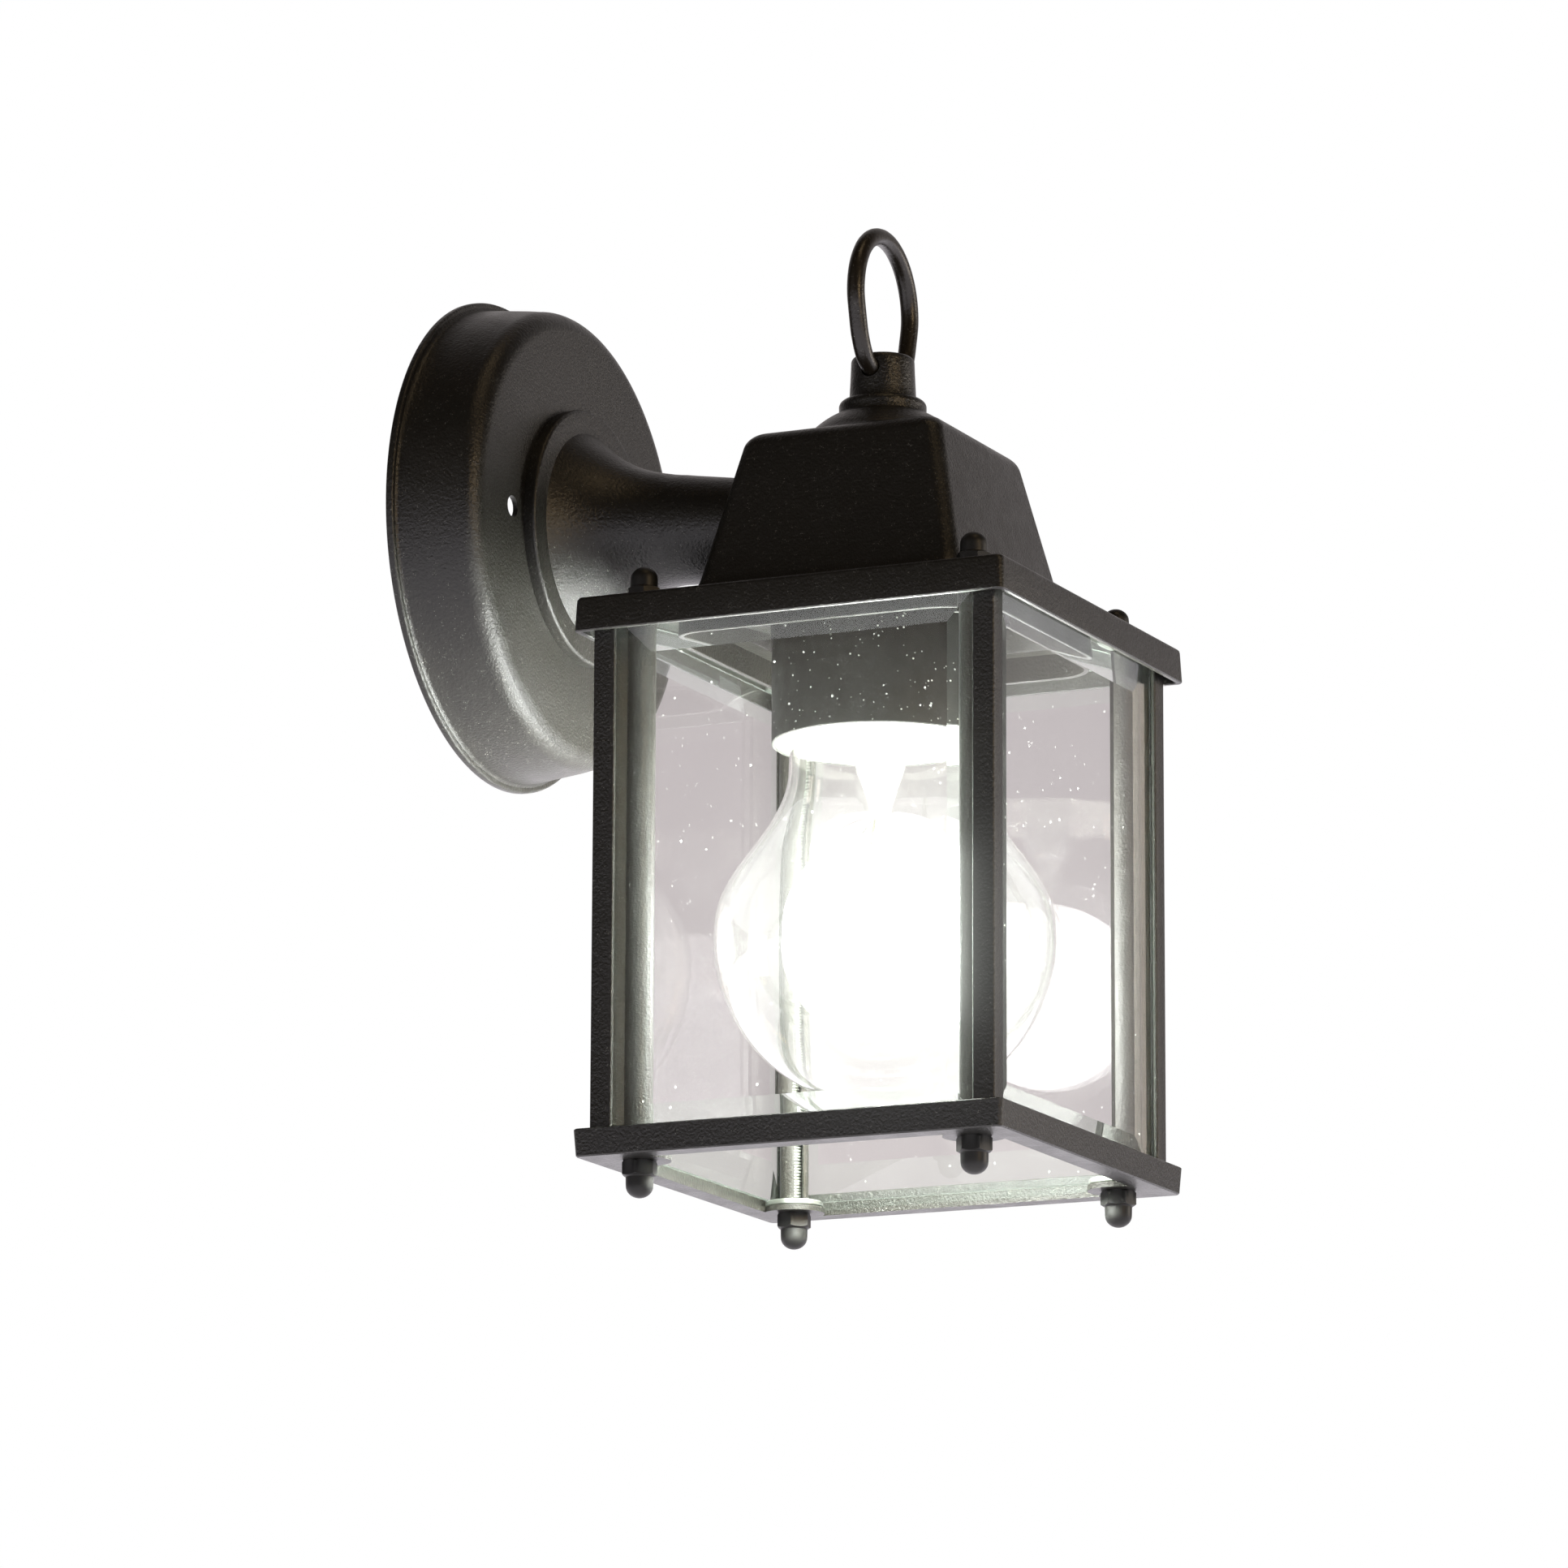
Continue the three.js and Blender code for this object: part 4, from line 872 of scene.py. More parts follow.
# ---- Canopy and arm -----------------------------------------------------------------------------
@dataclass
class WallCanopy:
    """The pressed cover on the wall: a drum with a rolled lip, open at the back."""

    lip_r: float = 56.9
    lip_thick: float = 1.9
    roll_r: float = 0.6
    drum_back_r: float = 54.9
    drum_front_r: float = 53.2
    deep: float = 21.0
    fillet: float = 5.0
    sheet: float = 1.2
    wire_hole_r: float = 10.5
    hole_r: float = 2.5
    hole_x: float = 34.9
    screw_hole_r: float = 2.3

    def profile(self) -> Profile:
        """The sheet's section, from the lip's inner edge round the outside and back inside."""
        corner = (self.drum_front_r - self.fillet, self.deep - self.fillet)
        back, lip, roll = self.drum_back_r, self.lip_thick, self.roll_r
        edge = self.lip_r - roll
        outside: Profile = [(back - self.sheet, 0.0), (edge, 0.0)]
        outside += arc(edge, roll, roll, -70, 0, 4)
        outside += arc(edge, lip - roll, roll, 0, 80, 5)
        outside += [(back + 0.75, lip - 0.05), (back + 0.3, lip + 0.25), (back, lip + 0.8)]
        outside += [(back - 0.5, 7.0), (back - 1.2, 13.0)]
        outside += arc(*corner, self.fillet, 2, 90, 14)
        face, hole = self.deep, self.wire_hole_r
        outside += [(40.0, face), (31.0, face), (hole + 0.5, face), (hole, face - 0.4)]
        inner = face - self.sheet
        inside: Profile = [(hole, inner), (31.0, inner), (40.0, inner)]
        inside += arc(*corner, self.fillet - self.sheet, 90, 2, 10)
        inside += [(back - self.sheet - 0.5, 7.0)]
        return outside + inside

    def build(self) -> None:
        """Makes the canopy and its holes."""
        shape = Shape().turned(self.profile(), 160, wrap=True)
        piece = make_object("canopy_shell", shape, FACING_OUT, [Finishes.COAT])
        places = [(self.hole_x, 0.0, self.hole_r), (-self.hole_x, 0.0, self.hole_r)]
        places += [(x, z, self.screw_hole_r) for x, z in arm_screw_places()]
        drills = Shape()
        for x, z, radius in places:
            drill = pin(radius, self.deep - 11, self.deep + 9)
            drills.joined(drill.copied(Matrix.Translation((x, z, 0))))
        carved(piece, drills, FACING_OUT)
        hand_over(piece, FIXTURE, "powder_coat", ["wall_canopy"])


@dataclass
class Arm:
    """The cast arm: a disc on the canopy, a trumpet flare and a tapering tube that meets the roof."""

    base: float = 21.02
    disc_r: float = 29.8
    disc_thick: float = 3.1
    droop: float = 2.3
    droop_from: float = 44.0
    trumpet_r: float = 24.2
    waist_r: float = 12.6
    tip_r: float = 10.8
    flare: float = 25.0
    flare_start: float = math.radians(52)
    mouth_r: float = 12.0
    bore_from: float = 52.0

    def build(self, datum: Datum, roof: Roof) -> None:
        """Makes the arm; its tip is cut to the roof's slope."""
        root = self.base + self.disc_thick
        tip = -datum.axis_y - roof.half_at(-datum.flange_z)
        profile: Profile = [(self.mouth_r, self.base), (self.disc_r - 0.15, self.base)]
        profile += arc(self.disc_r - 0.8, root - 0.8, 0.8, 0, 90, 5)
        profile += [(self.trumpet_r + 1.5, root - 0.05), (self.trumpet_r + 0.3, root - 0.05)]
        first, steps = self.flare_start, 18
        for i in range(steps + 1):
            angle = first + (math.pi / 2 - first) * i / steps
            inward = (1 - math.sin(angle)) / (1 - math.sin(first))
            rise = (math.cos(first) - math.cos(angle)) / math.cos(first)
            radius = self.waist_r + (self.trumpet_r - self.waist_r) * inward
            profile.append((radius, root + self.flare * rise))
        steps = 8
        for i in range(1, steps + 1):
            share = i / steps
            radius = self.waist_r + (self.tip_r - self.waist_r) * share
            profile.append((radius, root + self.flare + (tip - root - self.flare) * share))
        profile += [(LEAD_BORE_R, tip), (LEAD_BORE_R, self.bore_from), (8.0, 42.0)]
        shape = Shape().turned(profile, 96, wrap=True)
        shape.verts = [self.sloped(v, tip, datum, roof) for v in shape.verts]
        piece = make_object("arm_casting", shape, FACING_OUT, [Finishes.COAT])
        hand_over(piece, FIXTURE, "cast_powder_coat", ["arm"])

    def sloped(self, vert: Point, tip: float, datum: Datum, roof: Roof) -> Point:
        """Lets the tube's outside hang down a little, and lays its end on the roof's sloping wall."""
        x, up, out = vert
        if out > self.droop_from and math.hypot(x, up) > self.tip_r - 1:
            up -= self.droop * (out - self.droop_from) / (tip - self.droop_from)
        reach = max(0.0, (out - self.bore_from) / (tip - self.bore_from))
        wall = -datum.axis_y - roof.half_at(up - datum.flange_z) + 0.3
        return x, up, out + reach * (wall - tip)


# ---- Roof, finial and ring ----------------------------------------------------------------------
@dataclass
class Roof:
    """The cast roof: a hollow pyramid on a square flange with a skirt and an inner lip."""

    flange_tall: float = 7.9
    flange_top: float = 51.66
    flange_bottom: float = 52.0
    skirt_inner: float = 50.5
    plate: float = 2.0
    lip_inner: float = 35.2
    lip_outer: float = 36.5
    lip_corner: float = 10.0
    base_half: float = 33.1
    top_half: float = 23.7
    tall: float = 41.5
    wall: float = 2.0
    edge_r: float = 3.5
    base_fillet: float = 7.0
    stud_hole: float = 3.1
    pad_r: float = 9.6
    pad_from: float = 71.5
    pad_seat: float = 74.2

    def half_at(self, z: float) -> float:
        """Half the width of the sloping wall at height z."""
        return self.base_half - (self.base_half - self.top_half) / self.tall * z

    def outer_rings(self) -> list[Ring]:
        """Rings from the stud's hole over the top and down to the flange."""
        rings = [square_ring(self.stud_hole, self.stud_hole, self.tall)]
        for i in range(10, -1, -1):
            angle = math.radians(9 * i)
            z = self.tall - self.edge_r * (1 - math.sin(angle))
            inset = self.edge_r * (1 - math.cos(angle))
            rings.append(square_ring(self.half_at(z) - inset, max(self.edge_r - 0.55 * inset, 1), z))
        for share in (0.66, 0.33):
            z = self.base_fillet + (self.tall - self.edge_r - self.base_fillet) * share
            rings.append(square_ring(self.half_at(z), self.edge_r, z))
        for i in range(10, -1, -1):
            angle = math.radians(9 * i)
            z = self.base_fillet * (1 - math.cos(angle))
            flare = self.base_fillet * (1 - math.sin(angle))
            rings.append(square_ring(self.half_at(z) + flare, self.edge_r + flare, z))
        return rings

    def build(self, datum: Datum) -> None:
        """Makes the roof with its hollow, the pad inside its rear wall and the bore for the leads."""
        top, low = self.flange_top, -self.flange_tall
        rings = self.outer_rings()
        crown = 0.9
        for a in (90, 60, 30, 0):
            angle = math.radians(a)
            inset = crown * (1 - math.cos(angle))
            z = -crown * (1 - math.sin(angle))
            rings.append(square_ring(top - inset, 1.6 - 0.6 * inset, z))
        rings.append(square_ring(self.flange_bottom, 1.6, low + 0.25))
        rings.append(square_ring(self.flange_bottom - 0.25, 1.4, low))
        rings.append(square_ring(self.skirt_inner + 0.4, 1.2, low))
        rings.append(square_ring(self.skirt_inner + 0.15, 1.0, low + 0.25))
        rings.append(square_ring(self.skirt_inner, 1.0, -self.plate))
        rings.append(square_ring(self.lip_outer, self.lip_corner, -self.plate))
        rings.append(square_ring(self.lip_outer, self.lip_corner, low + 0.2))
        inner_corner = self.lip_corner - (self.lip_outer - self.lip_inner)
        rings.append(square_ring(self.lip_outer - 0.2, self.lip_corner - 0.2, low))
        rings.append(square_ring(self.lip_inner + 0.2, inner_corner + 0.2, low))
        rings.append(square_ring(self.lip_inner, inner_corner, low + 0.2))
        rings.append(square_ring(self.lip_inner, inner_corner, -self.plate))
        mouth = self.half_at(-2) - self.wall - 1.0
        rings.append(square_ring(mouth + 0.4, 3.0, -self.plate))
        rings.append(square_ring(mouth, 2.6, -self.plate + 0.4))
        ceiling = self.tall - self.wall
        inner_top = self.half_at(ceiling - 2) - self.wall
        rings.append(square_ring(inner_top, 2.0, ceiling - 2))
        rings.append(square_ring(inner_top - 0.6, 1.8, ceiling - 0.6))
        rings.append(square_ring(inner_top - 2, 1.0, ceiling))
        rings.append(square_ring(self.stud_hole, self.stud_hole, ceiling))
        place = datum.lantern()
        piece = make_object(
            "roof_casting", Shape().loft(rings, wrap=True), place, [Finishes.COAT], 30
        )
        pad = pin(self.pad_r, self.pad_from, self.pad_seat, 48)
        carved(piece, pad, FACING_OUT, "UNION")
        carved(piece, pin(LEAD_BORE_R, 60.0, 80.0), FACING_OUT)
        hand_over(piece, FIXTURE, "cast_powder_coat", ["roof"])


@dataclass
class Finial:
    """The stepped casting on the roof, with two side holes for the ring."""

    stud_bottom: float = 33.8
    stud_r: float = 2.95
    seat: float = 41.52
    base_r: float = 19.0
    dome_r: float = 19.9
    collar_r: float = 9.95
    collar_round: float = 1.5
    cyl_r: float = 7.2
    cyl_round: float = 1.25
    top: float = 61.9
    hole_z: float = 58.3
    hole_r: float = 2.3

    def profile(self) -> Profile:
        """Base, dome, collar and cylinder, from the stud up."""
        low, r = self.stud_bottom, self.stud_r
        made: Profile = [(0, low), (r - 0.35, low), (r, low + 0.4), (r, self.seat)]
        made += [(self.base_r - 0.2, self.seat), (self.base_r, self.seat + 0.6)]
        made += arc(2.0, 30.2, self.dome_r, 38.5, 62, 9)
        made += [(10.6, 48.15), (10.0, 48.3), (9.92, 48.6), (self.collar_r, 50.0)]
        made += arc(self.collar_r - self.collar_round, 50.2, self.collar_round, 0, 86, 7)
        made += [(7.75, 51.75), (7.58, 52.2), (7.5, 54.0), (7.3, self.hole_z - 0.3)]
        made += arc(self.cyl_r - self.cyl_round, self.top - self.cyl_round, self.cyl_round, 4, 90, 7)
        made += [(0, self.top)]
        return made

    def build(self, datum: Datum) -> None:
        """Makes the finial and drills it."""
        place = datum.lantern()
        piece = make_object("finial_casting", Shape().turned(self.profile()), place, [Finishes.COAT])
        drills = Shape()
        for side in (-1, 1):
            drill = pin(self.hole_r, 3.0, 12.0, 28)
            turn = Matrix.Rotation(side * math.pi / 2, 4, "Y")
            drills.joined(drill.copied(Matrix.Translation((0, 0, self.hole_z)) @ turn))
        carved(piece, drills, place)
        hand_over(piece, FIXTURE, "cast_powder_coat", ["finial"])


@dataclass
class HangingRing:
    """The bent wire ring; its ends turn inwards into the finial's side holes."""

    wire_r: float = 2.02
    half_wide: float = 14.84
    half_tall: float = 15.56
    centre_z: float = 74.5
    foot_z: float = 58.3

    def path(self) -> list[Point]:
        """The wire's centre line, in the lantern's axes."""
        foot = [(3.6, 0.0), (6.6, 0.0), (9.6, 1.5), (12.3, 5.6)]
        points = [(-x, 0.0, self.foot_z + z) for x, z in foot]
        steps = 10
        for i in range(steps + 1):
            angle = math.radians(202 - i * 224 / steps)
            z = self.centre_z + self.half_tall * math.sin(angle)
            points.append((self.half_wide * math.cos(angle), 0.0, z))
        return points + [(x, 0.0, self.foot_z + z) for x, z in reversed(foot)]

    def build(self, datum: Datum) -> None:
        """Makes the ring."""
        rings = tube_rings(smooth_path(self.path(), 140), self.wire_r, 20)
        shape = Shape().loft(rings)
        # The ring's coat is warmer than the castings' coat: painted warm sheen.
        piece = make_object("hanging_ring_wire", shape, datum.lantern(), [Finishes.WARM_SHEEN_WIRE_COAT])
        hand_over(piece, RING_BODY, "powder_coat", ["hanging_ring"])


# ---- Cage ---------------------------------------------------------------------------------------
@dataclass
class Cage:
    """Corner posts, tie rods with their nuts and discs, bevelled panes and the bottom frame."""

    rod_r: float = 1.95
    pitch: float = 0.7
    thread_deep: float = 0.38
    rod_past_frame: float = 5.6
    frame_top: float = -119.65
    frame_bottom: float = -125.9
    frame_half_top: float = 51.35
    frame_half_bottom: float = 50.96
    frame_wall: float = 1.4
    ledge_inner: float = 45.2
    ledge_thick: float = 1.2
    ear_r: float = 7.0
    post_bottom: float = -122.7
    post_top: float = -4.0
    post_outer: float = 48.46
    post_leg: float = 5.3
    post_sheet: float = 1.2
    tube_r: float = 3.3
    bore_r: float = 2.35
    slot: float = 2.2
    web: float = 1.0
    pane_outer: float = 46.9
    pane_half: float = 44.35
    pane_thick: float = 3.0
    pane_edge: float = 1.5
    pane_chamfer: float = 0.25
    pane_bevel: float = 8.5
    disc_r: float = 6.6

    def build(self, datum: Datum) -> None:
        """Makes every piece of the cage."""
        self.posts(datum)
        self.rods(datum)
        self.discs(datum)
        self.nuts(datum)
        self.panes(datum)
        self.bottom_frame(datum)

    def post_outline(self) -> Profile:
        """The +X +Y post's section: the slotted tube, the web and the outer angle."""
        lip = math.degrees(math.asin(self.slot / 2 / self.tube_r))
        neck = math.degrees(math.asin(self.web / 2 / self.tube_r))
        mouth = math.degrees(math.asin(self.slot / 2 / self.bore_r))
        diagonal = math.sqrt(2)
        inner = self.post_outer - self.post_sheet
        upper = arc(0, 0, self.tube_r, 180 - lip, neck, 20)
        web_end = (inner - ROD_AT) * diagonal - self.web / 2
        upper.append((web_end, self.web / 2))
        turn = math.radians(45)
        turned = [(x + ROD_AT, y + ROD_AT) for x, y in spun(upper, turn)]
        foot = self.post_outer - self.post_leg
        half_sheet = self.post_sheet / 2
        turned += arc(foot + half_sheet, inner + half_sheet, half_sheet, 270, 90, 6)
        turned += arc(self.post_outer - 0.5, self.post_outer - 0.5, 0.5, 90, 45, 3)
        mirrored = [(y, x) for x, y in reversed(turned[:-1])]
        bore = spun(arc(0, 0, self.bore_r, mouth - 180, 180 - mouth, 26), turn)
        return turned + mirrored + [(x + ROD_AT, y + ROD_AT) for x, y in bore]

    def posts(self, datum: Datum) -> None:
        """Makes the four posts, each turned from the +X +Y one."""
        shape = Shape().prism(self.post_outline(), self.post_bottom, self.post_top)
        for name, (x, y) in CORNERS.items():
            turn = Matrix.Rotation(math.atan2(y, x) - math.pi / 4, 4, "Z")
            place = datum.lantern() @ turn
            piece = make_object(f"corner_post_{name}", shape, place, [Finishes.COAT])
            hand_over(piece, FIXTURE, "cast_powder_coat", [f"post_{name}"])

    def rods(self, datum: Datum) -> None:
        """Makes the threaded tie rods; the thread climbs one pitch for each turn."""
        bottom, top = self.frame_bottom - self.rod_past_frame, self.rod_past_frame
        crest, root = self.rod_r, self.rod_r - self.thread_deep
        sides = 12
        radii = (crest, crest, root, root)
        count = int((top - bottom - 2 * self.pitch) / self.pitch * 4)
        chamfered = self.rod_r - 0.5
        rings = [plain_ring(chamfered, bottom, sides)]
        for i in range(count):
            ring = []
            for k in range(sides):
                a = 2 * math.pi * k / sides
                z = bottom + self.pitch * (0.25 * i + 0.6 + k / sides)
                radius = radii[i % 4]
                ring.append((radius * math.cos(a), radius * math.sin(a), z))
            rings.append(ring)
        rings.append(plain_ring(chamfered, top, sides))
        shape = Shape().loft(rings)
        piece = CornerSet().repeat("tie_rods_threaded", shape, 0, datum, Finishes.ZINC, True)
        hand_over(piece, FIXTURE, "steel", [f"tie_rod_{name}" for name in CORNERS])

    def discs(self, datum: Datum) -> None:
        """Makes the discs at the posts' feet and heads."""
        r = self.disc_r
        profile: Profile = [(2.3, 0.0), (r - 0.3, 0.0), (r, 0.3), (r, 1.1), (r - 0.3, 1.4)]
        profile += [(2.6, 1.4), (2.3, 1.1)]
        shape = Shape().turned(profile, 48, wrap=True)
        heights = {"lower": self.frame_bottom + self.ledge_thick + 0.1, "upper": -3.6}
        for level, z in heights.items():
            name = f"post_discs_{level}"
            piece = CornerSet().repeat(name, shape, z, datum, Finishes.ZINC, False)
            hand_over(piece, FIXTURE, "steel", [f"{level}_disc_{name}" for name in CORNERS])

    def cap_nut(self) -> Shape:
        """A chamfered hexagon with a dome, standing on its open face."""
        flat, tall, sides = 3.5, 3.4, 48
        rings: list[Ring] = []

        def ring(radius: Callable[[float], float], height: Callable[[float], float]) -> Ring:
            """One ring whose radius and height follow the angle."""
            angles = [2 * math.pi * k / sides for k in range(sides)]
            return [(radius(a) * math.cos(a), radius(a) * math.sin(a), height(a)) for a in angles]

        def hexagon(a: float) -> float:
            """The hexagon's radius at an angle."""
            step = math.pi / 3
            return flat / math.cos((a + step / 2) % step - step / 2)

        rings.append(ring(lambda a: 2.3, lambda a: 3.5))
        rings.append(ring(lambda a: 2.3, lambda a: 0.3))
        rings.append(ring(lambda a: 2.6, lambda a: 0.0))
        rings.append(ring(lambda a: min(hexagon(a), flat + 0.18), lambda a: 0.0))
        rings.append(ring(hexagon, lambda a: 0.12 + (hexagon(a) - flat) * 0.5))
        rings.append(ring(hexagon, lambda a: tall - 0.1 - (hexagon(a) - flat) * 0.58))
        rings.append(ring(lambda a: flat - 0.12, lambda a: tall))
        for radius, z in ((3.22, tall + 0.02), (3.08, tall + 0.18), (3.05, 5.0), (3.03, 5.5)):
            rings.append(ring(lambda a, r=radius: r, lambda a, h=z: h))
        for radius, z in arc(0, 5.5, 2.7, 12, 90, 8)[:-1]:
            wide = radius * 3.03 / 2.7
            rings.append(ring(lambda a, r=wide: r, lambda a, h=z: h))
        rings.append(ring(lambda a: 0.0, lambda a: 8.2))
        return Shape().loft(rings)

    def nuts(self, datum: Datum) -> None:
        """Makes the cap nuts on the flange and under the bottom frame."""
        nut = self.cap_nut()
        upside_down = nut.copied(Matrix.Rotation(math.pi, 4, "X"))
        jobs = (("top", nut, 0.02, 11), ("bottom", upside_down, self.frame_bottom - 0.02, 4))
        for level, shape, z, seed in jobs:
            name = f"cap_nuts_{level}"
            piece = CornerSet(seed=seed).repeat(name, shape, z, datum, Finishes.BLACK_NUT, True)
            nodes = [f"{level}_cap_nut_{name}" for name in CORNERS]
            hand_over(piece, FIXTURE, "black_nut", nodes)

    def panes(self, datum: Datum) -> None:
        """Makes the panes: flat outside, with a bevel all round the inner face."""
        middle = (self.post_bottom + self.post_top) / 2
        tall = (self.post_top - self.post_bottom) / 2
        chip = self.pane_chamfer
        levels = [(chip, 0.0), (0.0, chip), (0.0, self.pane_edge)]
        levels.append((self.pane_bevel, self.pane_thick))
        rings = []
        for inset, depth in levels:
            x, z = self.pane_half - inset, tall - inset
            y = -self.pane_outer + depth
            corners = ((-x, -z), (x, -z), (x, z), (-x, z))
            rings.append([(a, y, middle + b) for a, b in corners])
        shape = Shape().loft(rings)
        face, edge, bevel = range(3)
        shape.marks = [edge] * 8 + [bevel] * 4 + [face] * 2
        finishes = [Finishes.PANE, Finishes.PANE_EDGE, Finishes.PANE_BEVEL]
        for quarter, side in enumerate(SIDES):
            turn = Matrix.Rotation(quarter * math.pi / 2, 4, "Z")
            place = datum.lantern() @ turn
            piece = make_object(f"bevelled_pane_{side}", shape, place, finishes, 2)
            hand_over(piece, FIXTURE, "pane_glass", [f"glass_pane_{side}"])

    def ledge_ring(self, z: float, steps: int) -> Ring:
        """The ledge's inner edge, which swings inwards round each nut's ear."""
        reach = self.ledge_inner - ROD_AT
        start = -math.degrees(math.acos(reach / self.ear_r))
        ear = arc(ROD_AT, ROD_AT, self.ear_r, start, -270 - start, steps)
        turns = [math.radians(90 * quarter) for quarter in range(4)]
        return [(x, y, z) for turn in turns for x, y in spun(ear, turn)]

    def bottom_frame(self, datum: Datum) -> None:
        """Makes the bottom frame: a skirt with a flat ledge and an ear round each nut."""
        steps = 16
        low, high = self.frame_bottom, self.frame_top
        floor = low + self.ledge_thick
        rings = [
            self.ledge_ring(low, steps),
            square_ring(self.frame_half_bottom - 0.3, 1.3, low, steps),
            square_ring(self.frame_half_bottom, 1.5, low + 0.3, steps),
            square_ring(self.frame_half_top, 1.5, high - 0.25, steps),
            square_ring(self.frame_half_top - 0.25, 1.3, high, steps),
            square_ring(self.frame_half_top - self.frame_wall + 0.2, 1.2, high, steps),
            square_ring(self.frame_half_top - self.frame_wall, 1.0, high - 0.2, steps),
            square_ring(self.frame_half_bottom - self.frame_wall, 1.0, floor, steps),
            self.ledge_ring(floor, steps),
        ]
        shape = Shape().loft(rings, wrap=True)
        piece = make_object("bottom_frame_casting", shape, datum.lantern(), [Finishes.COAT], 30)
        hand_over(piece, FIXTURE, "cast_powder_coat", ["bottom_frame"])


# ---- Lampholder ---------------------------------------------------------------------------------
@dataclass
class Lampholder:
    """The black sleeve and the porcelain holder inside it, on a bent bracket."""

    sleeve_r: float = 24.4
    sleeve_wall: float = 0.8
    sleeve_bottom: float = -28.1
    sleeve_top: float = 11.3
    body_r: float = 19.5
    neck_r: float = 15.0
    thread_r: float = 17.2
    bottom: float = -3.0
    shoulder: float = 10.0
    top: float = 27.5
    cavity_r: float = 14.8
    cavity_top: float = 23.5

    def build(self, datum: Datum, nodes: dict[str, bpy.types.Object]) -> None:
        """Makes the holder's pieces and dresses the hardware that holds it.

        Args:
            datum: Where the lantern's axes lie.
            nodes: The frame's nodes by name.
        """
        place = datum.lantern()
        self.sleeve(place)
        self.body(place)
        self.metal_parts(place)
        hardware = {
            Finishes.STEEL: ["lampholder_bracket", "finial_nut", "arm_nipple_nut"],
            Finishes.ZINC: ["bracket_screw_left", "bracket_screw_right", "arm_nipple"],
            Finishes.BRASS: ["earth_tag"],
        }
        for finish, names in hardware.items():
            for name in names:
                for slot in nodes[name].material_slots:
                    slot.material = finish.material()

    def sleeve(self, place: Matrix) -> None:
        """The sleeve, a drawn steel cup with a rolled rim and a top flange."""
        r, inner = self.sleeve_r, self.sleeve_r - self.sleeve_wall
        hole = self.thread_r + 0.3
        low, high = self.sleeve_bottom, self.sleeve_top
        profile: Profile = [(inner + 0.2, low), (r - 0.2, low), (r, low + 0.2)]
        profile += arc(r - 1.6, high - 1.6, 1.6, 0, 90, 6)
        profile += [(hole, high), (hole, high - 0.9), (inner - 1.0, high - 0.9)]
        profile += [(inner, high - 1.9), (inner, low + 0.2)]
        sides = 128
        shape = Shape().turned(profile, sides, wrap=True)
        # The inner wall's ring of faces gets the near-white finish, which paints the lamp's glare inside
        # the sleeve.
        glare_wall = len(profile) - 2
        shape.marks = [int(i // sides == glare_wall) for i in range(len(shape.faces))]
        finishes = [Finishes.LACQUER, Finishes.PAINTED_GLARE]
        piece = make_object("sleeve_drawn_cup", shape, place, finishes)
        hand_over(piece, FIXTURE, "sleeve", ["socket_sleeve"])

    def body(self, place: Matrix) -> None:
        """The porcelain body with its coarse outer thread, and the ring that clamps the sleeve."""
        profile: Profile = [(self.cavity_r, self.bottom + 0.5), (self.cavity_r + 0.5, self.bottom)]
        profile += arc(self.body_r - 0.8, self.bottom + 0.8, 0.8, -90, 0, 5)
        profile += [(self.body_r, self.shoulder - 0.4), (self.body_r - 0.4, self.shoulder)]
        profile += [(self.thread_r, self.shoulder)]
        for i in range(1, 4):
            z = self.shoulder + 5.0 + 0.6 * i
            profile += [(self.thread_r, z - 0.2), (self.thread_r - 0.5, z)]
        profile += [(self.neck_r, 18.0)]
        profile += arc(self.neck_r - 1.0, self.top - 1.0, 1.0, 0, 90, 5)
        profile += [(1.6, self.top), (1.6, self.cavity_top), (self.cavity_r, self.cavity_top)]
        shape = Shape().turned(profile, 96, wrap=True)
        piece = make_object("holder_porcelain_body", shape, place, [Finishes.PORCELAIN])
        hand_over(piece, FIXTURE, "porcelain", ["lampholder_body"])
        low = self.sleeve_top + 0.05
        rings = []
        hole = self.thread_r + 0.25
        for radius, z in ((hole, low), (20.6, low), (21.0, low + 0.4), (21.0, low + 3.6)):
            rings.append(self.knurled(radius, z))
        for radius, z in ((20.6, low + 4.0), (hole, low + 4.0)):
            rings.append(self.knurled(radius, z))
        ring = make_object(
            "shade_ring_ribbed", Shape().loft(rings, wrap=True), place, [Finishes.PORCELAIN]
        )
        hand_over(ring, FIXTURE, "porcelain", ["shade_ring"])

    def knurled(self, radius: float, z: float) -> Ring:
        """A ring of the shade ring; its outside has finger ribs."""
        sides, ribs = 144, 24
        depth = 0.5 if radius > 19 else 0.0
        ring = []
        for k in range(sides):
            a = 2 * math.pi * k / sides
            r = radius - depth * (0.5 + 0.5 * math.cos(ribs * a))
            ring.append((r * math.cos(a), r * math.sin(a), z))
        return ring

